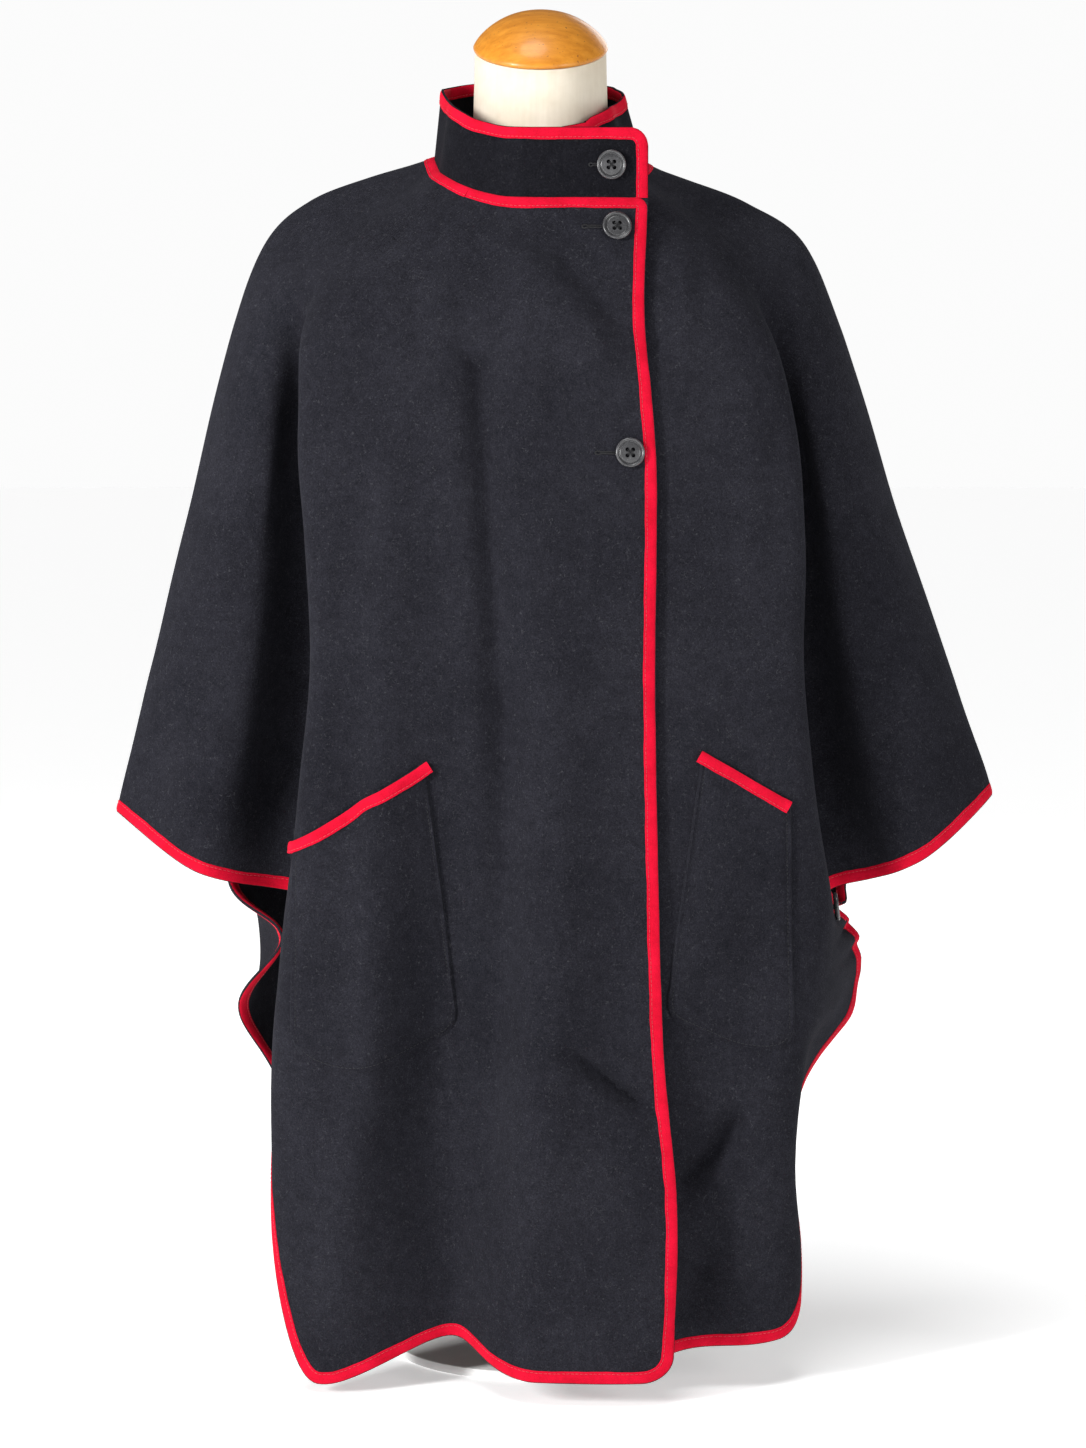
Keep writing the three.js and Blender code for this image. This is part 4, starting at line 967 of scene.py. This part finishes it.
def joined(*lines):
    """Lines of places one after another. A line may be turned round with True."""
    parts = [(w[::-1], v[::-1]) if turn else (w, v) for (w, v), turn in lines]
    return np.concatenate([p[0] for p in parts]), np.concatenate([p[1] for p in parts])


def from_hem(line):
    """The part of a side below the wing's hem."""
    return line[0][ROWS[0]:], line[1][ROWS[0]:]


NECK_CORNER = (0.13, 0.2)


def neck_corner(edge_w, sign):
    """The rounded corner where a free front edge meets the neckline, from the edge to the neckline."""
    angle = np.linspace(0, math.pi / 2, 9)
    w = edge_w - sign * NECK_CORNER[0] * (1 - np.cos(angle))
    return w, NECK_CORNER[1] * (1 - np.sin(angle))


surface = SURFACES["front_right"]
front_right, (a, b, hem) = panel(
    "front_right_cloth", surface,
    (lambda v: -side_edge(2.82)(v), (0.55, 0.72), True),
    (lambda v: FLAP, (0.3, 0.16), False), 78, 310,
)
bend = neck_corner(FLAP, 1)
edge = (b[0][b[1] > NECK_CORNER[1]], b[1][b[1] > NECK_CORNER[1]])
neck = (np.linspace(bend[0][-1], -2.45, 20), np.zeros(20))
run = joined((from_hem(a), False), (hem, False), (edge, True), (bend, False), (neck, False))
front_right_tape = tape("front_right_tape", surface, *run, 1.0)

surface = SURFACES["front_left"]
front_left, (a, b, hem) = panel(
    "front_left_cloth", surface,
    (lambda v: -0.5, (0.3, 0.16), False),
    (side_edge(3.3), (0.65, 0.38), True), 70, 270,
)
edge = (a[0][a[1] > NECK_CORNER[1]], a[1][a[1] > NECK_CORNER[1]])
bend = neck_corner(-0.5, -1)
neck = (np.linspace(2.45, bend[0][-1], 20), np.zeros(20))
run = joined((neck, False), (bend, True), (edge, False), (hem, False), (from_hem(b), True))
front_left_tape = tape("front_left_tape", surface, *run, 2.0)

surface = SURFACES["back"]
back, (a, b, hem) = panel(
    "back_cloth", surface,
    (back_seam, (0.7, 0.3), True),
    (lambda v: 2 * BACK - back_seam(v), (0.7, 0.3), True), 120, 430,
)
run = joined((from_hem(a), False), (hem, False), (from_hem(b), True))
back_tape = tape("back_tape", surface, *run, 3.0)
neck = (np.linspace(2 * BACK - 8.9, 8.9, 40), np.zeros(40))
back_neck_tape = tape("back_neck_tape", surface, *neck, 4.0)


WING_WIDTH = 480


def wing(name, surface, left, right, seed):
    """A wing between its seams, with its neckline and hem bindings."""
    across = spread(96, WING_WIDTH, (True, True))
    v = np.linspace(0, WING_HEM_RING, 110)
    w = lerp(left(v)[:, None], right(v)[:, None], across[None, :])
    v = v[:, None] + 0 * w
    points, out = surface(w, v), normal(surface, w, v)
    thick = np.full(w.shape, CLOTH / 2)
    for share in (across, 1 - across):
        points, thick = drawn_in(points, out, thick, share * WING_WIDTH + 0 * w)
    piece = sewn_cloth(f"{name}_cloth", points + thick[..., None] * out, points - CLOTH / 2 * out)
    ends = np.linspace(right(0.0), left(0.0), 40)
    neck = tape(f"{name}_neck_tape", surface, ends, 0 * ends, seed)
    line = np.linspace(left(float(WING_HEM_RING)), right(float(WING_HEM_RING)), 120)
    hem = tape(f"{name}_hem_tape", surface, line, 0 * line + WING_HEM_RING, seed + 1)
    return piece, neck, hem


wing_right, right_neck, right_hem = wing(
    "wing_right", SURFACES["wing_right"], lambda v: -back_seam(v), lambda v: -front_seam(v), 5.0)
wing_left, left_neck, left_hem = wing(
    "wing_left", SURFACES["wing_left"], front_seam, back_seam, 7.0)

# The collar
COLLAR_CORNER = (0.65, 0.21, 0.27)
COLLAR_FOOT = 1.045
surface = SURFACES["collar"]
rows, cols = 26, 220
top_t = np.linspace(0, 1, rows)
line_w = np.linspace(COLLAR_INNER, FLAP, cols)
angle = np.linspace(0, math.pi / 2, 13)
inner_bend = (COLLAR_INNER + COLLAR_CORNER[0] * (1 - np.cos(angle)), COLLAR_CORNER[2] * (1 - np.sin(angle)))
outer_bend = (FLAP - COLLAR_CORNER[1] * (1 - np.cos(angle)), COLLAR_CORNER[2] * (1 - np.sin(angle)))
top_bound = np.maximum(
    np.interp(line_w, inner_bend[0], inner_bend[1], right=0),
    np.interp(line_w, outer_bend[0][::-1], outer_bend[1][::-1], left=0),
)
w = line_w[None, :] + 0 * top_t[:, None]
t = lerp(top_bound[None, :], COLLAR_FOOT, top_t[:, None])
points, out = surface(w, t), normal(surface, w, t)
# the collar's coating is painted darker than the rest of the coat, at 0.52 of its colours: painted shade on
# the same cloth
collar = sewn_cloth("collar_cloth", points + CLOTH / 2 * out, points - CLOTH / 2 * out, "collar")
down = np.linspace(COLLAR_FOOT, COLLAR_CORNER[2], 12)
top = (np.linspace(outer_bend[0][-1], inner_bend[0][-1], 160), np.zeros(160))
run = joined(
    ((0 * down + FLAP, down), False), (outer_bend, False), (top, False), (inner_bend, True),
    ((0 * down + COLLAR_INNER, down), True),
)
collar_tape = tape("collar_tape", surface, *run, 9.0)


# Places on a front are found from their x and z by steps that are no longer than this
LOCATE_ROUNDS = 14
LOCATE_LIMIT = (0.6, 0.9)


def located(surface, x, z, w, v):
    x, z = np.asarray(x, float), np.asarray(z, float)
    w, v = np.full(x.shape, float(w)), np.full(x.shape, float(v))
    for _ in range(LOCATE_ROUNDS):
        here = surface(w, v)
        across, down = slopes(surface, w, v)
        dx, dz = x - here[..., 0], z - here[..., 2]
        det = across[..., 0] * down[..., 2] - across[..., 2] * down[..., 0]
        w = w + np.clip((dx * down[..., 2] - dz * down[..., 0]) / det, -LOCATE_LIMIT[0], LOCATE_LIMIT[0])
        v = v + np.clip((dz * across[..., 0] - dx * across[..., 2]) / det, -LOCATE_LIMIT[1], LOCATE_LIMIT[1])
    return w, v


# Patch pockets: the front, a place near them to look from, and corners with a radius, from the inner top
# corner round by the outer side
POCKETS = {
    "pocket_right": (
        "front_right", (-2.0, 8.5),
        [(-87, 520, 0), (-195, 452, 0), (-197, 280, 24), (-146, 262, 26), (-60, 298, 18)],
    ),
    "pocket_left": (
        "front_left", (2.2, 8.5),
        [(137, 528, 0), (210, 486, 0), (213, 282, 22), (170, 282, 20), (106, 312, 16)],
    ),
}


def rounded(corners, steps=8):
    line = []
    count = len(corners)
    for i, (x, z, radius) in enumerate(corners):
        at = np.array([x, z], float)
        if radius == 0:
            line.append(at)
            continue
        ends = [np.array(corners[(i + d) % count][:2], float) for d in (-1, 1)]
        starts = [at + radius * (e - at) / np.linalg.norm(e - at) for e in ends]
        for t in np.linspace(0, 1, steps + 1):
            line.append(lerp(lerp(starts[0], at, t), lerp(at, starts[1], t), t))
    return np.array(line)


def even(line, count):
    line = np.asarray(line, float)
    run = run_along(line)
    marks = np.linspace(0, run[-1], count)
    return np.stack([np.interp(marks, run, line[:, n]) for n in (0, 1)], axis=1)


def distance_to(points, line):
    best = np.full(points.shape[:-1], 1e9)
    for a, b in zip(line[:-1], line[1:]):
        d = b - a
        s = np.clip(((points - a) @ d) / (d @ d), 0, 1)
        best = np.minimum(best, np.linalg.norm(points - a - s[..., None] * d, axis=-1))
    return best


POCKET_THICK = 2.9
POCKET_OFF = 0.05
TOPSTITCH_IN = 4.2
TOPSTITCH_SUNK = 1.3
POCKET_GRID = (44, 40)


def mouth_binding(name, surface, start, ends, seed):
    """The binding of a pocket's mouth, along a line that has the cloth on its left."""
    line = even(sorted(ends, key=lambda p: -p[0]), 60)
    w, v = located(surface, line[:, 0], line[:, 1], *start)
    height = CLOTH / 2 + POCKET_THICK / 2 + 0.9

    def raised(x, y):
        return surface(x, y) + height * normal(surface, x, y)

    low, high = (min(w) - 0.4, min(v) - 0.8), (max(w) + 0.4, max(v) + 0.8)
    return tape(f"{name}_tape", frozen(raised, low, high, (0.02, 0.02)), w, v, seed)


def pocket(name, surface, start, corners, seed):
    """A patch pocket with its topstitching and the binding of its mouth."""
    cols, rows = POCKET_GRID
    line = rounded(corners)
    first, second = line[0], line[1]
    open_line = np.concatenate([line[1:], line[:1]])
    # the two sides end where the bottom's rounding starts
    lower = [i for i, p in enumerate(open_line) if p[1] < corners[2][1] + 40]
    side_out = even(open_line[: lower[0] + 1], rows)
    side_in = even(open_line[lower[-1]:][::-1], rows)
    bottom = even(open_line[lower[0]: lower[-1] + 1][::-1], cols)
    top = even([first, second], cols)
    a, b = np.linspace(0, 1, cols)[None, :, None], np.linspace(0, 1, rows)[:, None, None]
    flat = lerp(side_in[:, None], side_out[:, None], a) + lerp(top[None], bottom[None], b)
    flat = flat - lerp(lerp(top[0], top[-1], a), lerp(bottom[0], bottom[-1], a), b)
    w, v = located(surface, flat[..., 0], flat[..., 1], *start)
    out = normal(surface, w, v)
    rim = distance_to(flat, open_line)
    height = POCKET_THICK * np.sqrt(np.clip(rim / 1.6, 0, 1)) + 0.25
    height = height - TOPSTITCH_SUNK * np.exp(-(((rim - TOPSTITCH_IN) / 1.5) ** 2))
    under = surface(w, v) + (CLOTH / 2 + POCKET_OFF) * out
    piece = sewn_cloth(f"{name}_cloth", under + height[..., None] * out, under)
    along = unit(np.gradient(open_line, axis=0))
    across = np.stack([-along[:, 1], along[:, 0]], axis=1)
    across *= np.sign(((open_line.mean(axis=0) - open_line) * across).sum(axis=1))[:, None]
    row = even(open_line + TOPSTITCH_IN * across, 160)
    ww, vv = located(surface, row[:, 0], row[:, 1], *start)
    off = normal(surface, ww, vv)
    path = surface(ww, vv) + (CLOTH / 2 + POCKET_THICK - 1.05) * off
    stitching = stitches(f"{name}_topstitching", [(path, off)], MATERIALS["dark_thread"], POCKET_STITCH)
    return piece, stitching, mouth_binding(name, surface, start, [first, second], seed)


for number, (name, (front, start, corners)) in enumerate(POCKETS.items()):
    pocket(name, SURFACES[front], start, corners, 11.0 + number)


# Buttons, with thread through their four holes
BUTTON_PROFILE = [
    (0, 0), (9.6, 0), (10.8, 0.4), (11.6, 1.2), (12, 2.2), (11.9, 3.0), (11.4, 3.55), (10.8, 3.7),
    (10.1, 3.5), (9.6, 2.9), (9.2, 2.0), (8.8, 1.9), (8.4, 2.3), (7.6, 2.5), (0, 2.5),
]
BUTTON_OFF = 0.8
BUTTON_FACE = 2.5
BUTTON_SIDES = 72
HOLE = {"radius": 1.65, "spread": 2.4, "sides": 16}
THREAD = {"radius": 0.28, "sides": 6, "apart": 0.35, "shank": 2.2, "shank_sides": 10, "steps": 13}


def circle(radius, height, count):
    turns = [2 * math.pi * n / count for n in range(count)]
    return [(radius * math.cos(angle), radius * math.sin(angle), height) for angle in turns]


def placed(points, centre, out, up=Vector((0, 0, 1))):
    """Points in a button's own frame, its face towards out, at a place of the coat."""
    z = unit(np.array(out, float))
    y = np.array(up, float) - np.dot(np.array(up, float), z) * z
    y = unit(y)
    x = np.cross(y, z)
    return np.array(centre) + points[:, :1] * x + points[:, 1:2] * y + points[:, 2:3] * z


def tube(path, radius, sides=8):
    path = np.asarray(path, float)
    along = unit(np.gradient(path, axis=0))
    side = unit(np.cross(along, np.array([0.3, 0.2, 1.0])))
    up = np.cross(side, along)
    rings = []
    for n in range(sides):
        angle = 2 * math.pi * n / sides
        rings.append(path + radius * (math.cos(angle) * side + math.sin(angle) * up))
    return np.array(rings).transpose(1, 0, 2).reshape(-1, 3)


def button(name, surface, w, v, half):
    w, v = np.array([float(w)]), np.array([float(v)])
    out = normal(surface, w, v)[0]
    centre = surface(w, v)[0] + (half + BUTTON_OFF) * out
    sides = BUTTON_SIDES
    points, faces = [], []
    for r, z in BUTTON_PROFILE[1:-1]:
        points += circle(r, z, sides)
    last = len(points) - sides
    for start in range(0, last, sides):
        for n in range(sides):
            a, b = start + n, start + (n + 1) % sides
            faces.append((a, b, b + sides, a + sides))
    low, high = len(points), len(points) + 1
    points += [(0, 0, 0), (0, 0, BUTTON_FACE)]
    for n in range(sides):
        faces.append((low, (n + 1) % sides, n))
        faces.append((high, last + n, last + (n + 1) % sides))
    at = placed(np.array(points, float), centre, out)
    piece = mesh_object(f"{name}_disc", at, faces, MATERIALS["button"], 50)
    cut_holes(piece, centre, out)
    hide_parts(name)
    threads, thread_faces = [], []
    hole, steps = HOLE["spread"], THREAD["steps"]
    for sign in (1, -1):
        for shift in (-THREAD["apart"], THREAD["apart"]):
            s = np.linspace(-1, 1, steps)
            arch = 2.75 + 0.55 * (1 - s**2) - 1.8 * smooth(np.abs(s), 0.82, 1.0) + (0.25 if sign < 0 else 0)
            path = np.stack([s * hole + shift * 0.7, sign * s * hole - sign * shift * 0.7, arch], axis=1)
            start = sum(len(t) for t in threads)
            threads.append(placed(tube(path, THREAD["radius"], THREAD["sides"]), centre, out))
            thread_faces += grid_faces(steps, THREAD["sides"], start, closed_cols=True)
    shank = np.stack([0 * s, 0 * s, np.linspace(-BUTTON_OFF - 0.8, 0.2, steps)], axis=1)
    start = sum(len(t) for t in threads)
    threads.append(placed(tube(shank, THREAD["shank"], THREAD["shank_sides"]), centre, out))
    thread_faces += grid_faces(steps, THREAD["shank_sides"], start, closed_cols=True)
    sewn = mesh_object(f"{name}_thread", np.concatenate(threads), thread_faces, MATERIALS["dark_thread"])


def cut_holes(piece, centre, out):
    """Four holes through a button."""
    cutter_points, cutter_faces = [], []
    sides, away = HOLE["sides"], HOLE["spread"]
    for x, y in ((1, 1), (1, -1), (-1, 1), (-1, -1)):
        start = len(cutter_points)
        for z in (-2, 6):
            cutter_points += [(x * away + a, y * away + b, z) for a, b, _ in circle(HOLE["radius"], 0, sides)]
        for n in range(sides):
            a, b = start + n, start + (n + 1) % sides
            cutter_faces.append((a, b, b + sides, a + sides))
        cutter_faces.append(tuple(range(start + sides - 1, start - 1, -1)))
        cutter_faces.append(tuple(range(start + sides, start + 2 * sides)))
    mesh = bpy.data.meshes.new("cutter")
    mesh.from_pydata((placed(np.array(cutter_points, float), centre, out) * MM).tolist(), [], cutter_faces)
    cutter = bpy.data.objects.new("cutter", mesh)
    bpy.context.scene.collection.objects.link(cutter)
    cut = piece.modifiers.new("holes", "BOOLEAN")
    cut.object = cutter
    cut.operation = "DIFFERENCE"
    cut.solver = "EXACT"
    bpy.context.view_layer.update()
    evaluated = piece.evaluated_get(bpy.context.evaluated_depsgraph_get())
    done = bpy.data.meshes.new_from_object(evaluated)
    piece.modifiers.clear()
    piece.data = done
    done.set_sharp_from_angle(angle=math.radians(50))
    bpy.data.objects.remove(cutter)


button("button_collar", SURFACES["collar"], 0.88, 0.56, CLOTH / 2)
button("button_upper", SURFACES["front_right"], 0.95, 0.52, CLOTH / 2)
button("button_lower", SURFACES["front_right"], 1.02, 3.88, CLOTH / 2)
button("button_side_right", SURFACES["front_right"], -3.6, 8.5, CLOTH / 2)
button("button_side_left", SURFACES["front_left"], 3.5, 8.12, CLOTH / 2)


def buttonhole(name, surface, near, w, v, reach_out):
    """A worked keyhole that runs out from under a button, across the edge."""
    w, v = np.array([float(w)]), np.array([float(v)])
    centre = surface(w, v)[0]
    count = 40
    turn = np.linspace(0, 2 * math.pi, count)
    bulge = 0.8 + 2.1 * smooth(np.cos(turn), 0.66, 0.9)
    x = centre[0] - reach_out / 2 - (reach_out / 2 + 1) * np.cos(turn)
    z = centre[2] + bulge * np.sin(turn)
    ww, vv = located(surface, x, z, *near)
    out = normal(surface, ww, vv)
    path = surface(ww, vv) + (CLOTH / 2 + 0.35) * out
    faces = grid_faces(count, 8, closed_cols=True)
    edge = mesh_object(f"{name}_edge", tube(path, 0.65, 8), faces, MATERIALS["dark_thread"])
    loops = stitches(f"{name}_thread", [(path, out)], MATERIALS["dark_thread"], HOLE_STITCH)
    return [edge, loops]


upper_hole = buttonhole("buttonhole_upper", SURFACES["front_right"], (0.8, 0.5), 0.95, 0.52, 27)
lower_hole = buttonhole("buttonhole_lower", SURFACES["front_right"], (0.9, 3.9), 1.02, 3.88, 27)
collar_hole = buttonhole("buttonhole_collar", SURFACES["collar"], (0.7, 0.56), 0.88, 0.56, 17)


# The dress form
NECK_RINGS = [
    (55, 60, 54, 1105, 1105), (56, 60, 55, 1065, 1065), (58, 61, 57, 1022, 1024), (64, 64, 60, 990, 1000),
]
SHOULDER_RINGS = [(0.5, 9), (0.9, 5), (1.3, 4.2), (1.7, 4.2), (2.1, 4.6), (2.5, 7)]
TORSO_RINGS = [
    (196, 104, 98, 832, 920), (172, 106, 98, 790, 850), (152, 102, 94, 740, 770), (132, 92, 84, 680, 690),
    (120, 84, 78, 615, 615), (140, 94, 96, 550, 550), (162, 104, 110, 480, 480), (164, 104, 112, 430, 430),
    (152, 96, 104, 402, 402), (118, 76, 80, 390, 390),
]
NECK_TILT = 0.36
NECK_AT = (6, -2)
FORM_SIDES = 96
SEAM_DIP = 0.992


def oval(row, x=0.0, y=0.0, tilt=0.0, angles=None):
    half, front, back_depth, middle, side = row
    depth = np.where(np.sin(angles) < 0, front, back_depth)
    py = y + depth * np.sin(angles)
    level = lerp(middle, side, np.cos(angles) ** 2)
    return stacked(x + half * np.cos(angles), py, level + tilt * py)


def form():
    w = np.linspace(-BACK, BACK, FORM_SIDES + 1)[1:]
    mid = base(w, 0 * w + 2)
    angles = np.arctan2(mid[:, 1] / 110, mid[:, 0] / 200)
    tilts = [NECK_TILT, NECK_TILT / 2, 0, 0]
    rings = [oval(row, *NECK_AT, tilt, angles) for row, tilt in zip(NECK_RINGS, tilts)]
    for v, inset in SHOULDER_RINGS:
        front = LAYER_IN * (1 - smooth(np.abs(w), 1.5, 3))
        rings.append(base(w, 0 * w + v) - (inset + front)[:, None] * normal(base, w, 0 * w + v))
    rings += [oval(row, angles=angles) for row in TORSO_RINGS]
    grid = padded(np.array(rings))
    rows = np.linspace(0, len(rings) - 1, 5 * (len(rings) - 1) + 1)
    fine = spline(grid, rows[:, None] + 0 * w, np.arange(FORM_SIDES) + 0 * rows[:, None])
    return fine, angles


def lathe_faces(rows, sides, low, high):
    faces = grid_faces(rows, sides, closed_cols=True)
    faces += [(low, (n + 1) % sides, n) for n in range(sides)]
    last = (rows - 1) * sides
    faces += [(high, last + n, last + (n + 1) % sides) for n in range(sides)]
    return faces


def ringed(name, rings, slot, stands_for):
    """A closed solid through rings of points."""
    points = np.concatenate([rings.reshape(-1, 3), [rings[0].mean(axis=0), rings[-1].mean(axis=0)]])
    count = rings.shape[0] * FORM_SIDES
    faces = lathe_faces(rings.shape[0], FORM_SIDES, count, count + 1)
    piece = mesh_object(name, points, faces, MATERIALS[slot], 60)
    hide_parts(stands_for)
    return piece


fine, form_angles = form()
# a seam runs down the front and the back of the linen cover
for side in (-1, 1):
    fine[:, np.argmin(np.abs(form_angles - side * math.pi / 2))] *= (1, SEAM_DIP, 1)
form_cover = ringed("form_cover", fine, "linen", "form_torso")

CAP = {"rise": 30, "over": 1.5, "edge": 2.5, "cone": 0.11, "forward": 0.25}
cap_rings = [(0.90, 0.0), (0.97, 0.0), (0.985, 0.5), (0.995, 1.3)]
cap_rings += [
    (
        math.cos(t * math.pi / 2) * (1 - CAP["cone"] * math.sin(t * math.pi)),
        CAP["edge"] + CAP["rise"] * math.sin(t * math.pi / 2),
    )
    for t in np.linspace(0, 1, 20)[:-1]
]
rings = []
for share, height in cap_rings:
    radii = [(radius + CAP["over"]) * share for radius in NECK_RINGS[0][:3]]
    levels = [level + GAP + height for level in NECK_RINGS[0][3:]]
    y = NECK_AT[1] * share - CAP["forward"] * height
    rings.append(oval((*radii, *levels), NECK_AT[0], y, NECK_TILT, form_angles))
ringed("form_cap_wood", np.array(rings), "wood", "form_cap")

STAND_PROFILE = [
    (0, 0), (116, 0), (117.4, 0.6), (118, 2), (118, 5.6), (117.4, 7.3), (116, 8), (24, 8.3), (22, 8.8),
    (21, 10), (21, 26), (20, 27.6), (18.5, 28), (14, 28), (14, 389.6), (0, 389.6),
]
sides = 96
points = []
for r, z in STAND_PROFILE[1:-1]:
    points += circle(r, z, sides)
count = len(points)
points += [(0, 0, STAND_PROFILE[0][1]), (0, 0, STAND_PROFILE[-1][1])]
faces = lathe_faces(len(STAND_PROFILE) - 2, sides, count, count + 1)
faces = [tuple(reversed(f)) for f in faces]
stand = mesh_object("stand_metal", np.array(points), faces, MATERIALS["plate"], 40)
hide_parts("stand")

# Floor, light and camera
FLOOR_RADIUS = 40
FLOOR_SIDES = 64
turns = np.linspace(0, 2 * math.pi, FLOOR_SIDES, endpoint=False)
mesh = bpy.data.meshes.new("floor")
rim = [(FLOOR_RADIUS * math.cos(a), FLOOR_RADIUS * math.sin(a), 0) for a in turns]
mesh.from_pydata(rim, [], [tuple(range(FLOOR_SIDES))])
floor_material, tree, shader = material("floor", roughness=1.0, specular=0.0)
shader.inputs["Base Color"].default_value = (0.95, 0.95, 0.95, 1)
shader.inputs["Emission Color"].default_value = (1, 1, 1, 1)
shader.inputs["Emission Strength"].default_value = 0.43
mesh.materials.append(floor_material)
floor = bpy.data.objects.new("floor", mesh)
bpy.context.scene.collection.objects.link(floor)

# The studio is bright near the horizon and dim above
world = bpy.data.worlds.new("studio")
world.use_nodes = True
tree = world.node_tree
place = node(tree, "ShaderNodeTexCoord").outputs["Generated"]
height = node(tree, "ShaderNodeSeparateXYZ", {"Vector": place}).outputs["Z"]
sky = greys(tree, height, (0.0, 0.97), (0.115, 0.97), (0.22, 0.1))
tree.links.new(sky, tree.nodes["Background"].inputs["Color"])
tree.nodes["Background"].inputs["Strength"].default_value = 1.0
bpy.context.scene.world = world
bpy.context.scene.view_settings.view_transform = "Standard"

sun_data = bpy.data.lights.new("sun", "SUN")
sun_data.energy = 1.4
sun_data.angle = math.radians(28)
sun = bpy.data.objects.new("sun", sun_data)
sun.rotation_euler = (math.radians(14), math.radians(-8), 0)
bpy.context.scene.collection.objects.link(sun)


def softbox(name, place, target, size, power):
    lamp = bpy.data.lights.new(name, "AREA")
    lamp.shape = "RECTANGLE"
    lamp.size, lamp.size_y = size
    lamp.energy = power
    made = bpy.data.objects.new(name, lamp)
    made.location = place
    made.rotation_euler = (Vector(target) - Vector(place)).to_track_quat("-Z", "Y").to_euler()
    bpy.context.scene.collection.objects.link(made)


softbox("key", (-2.5, -2.2, 1.55), (0, 0, 0.65), (0.6, 0.9), 118)
softbox("fill", (2.4, -2.5, 1.4), (0, 0, 0.6), (0.7, 1.2), 25)
softbox("rear", (1.2, 3.2, 2.2), (0, 0, 0.6), (1.4, 1.4), 20)

camera_data = bpy.data.cameras.new("camera")
camera_data.sensor_width = 36
camera_data.lens = 36 * 3896 / 1448
camera_data.dof.use_dof = False
camera = bpy.data.objects.new("camera", camera_data)
camera.location = (0.008, -3.3, 0.80)
camera.rotation_euler = (math.pi / 2 - math.atan2(0.262, 3.3), 0, 0)
bpy.context.scene.collection.objects.link(camera)
bpy.context.scene.camera = camera
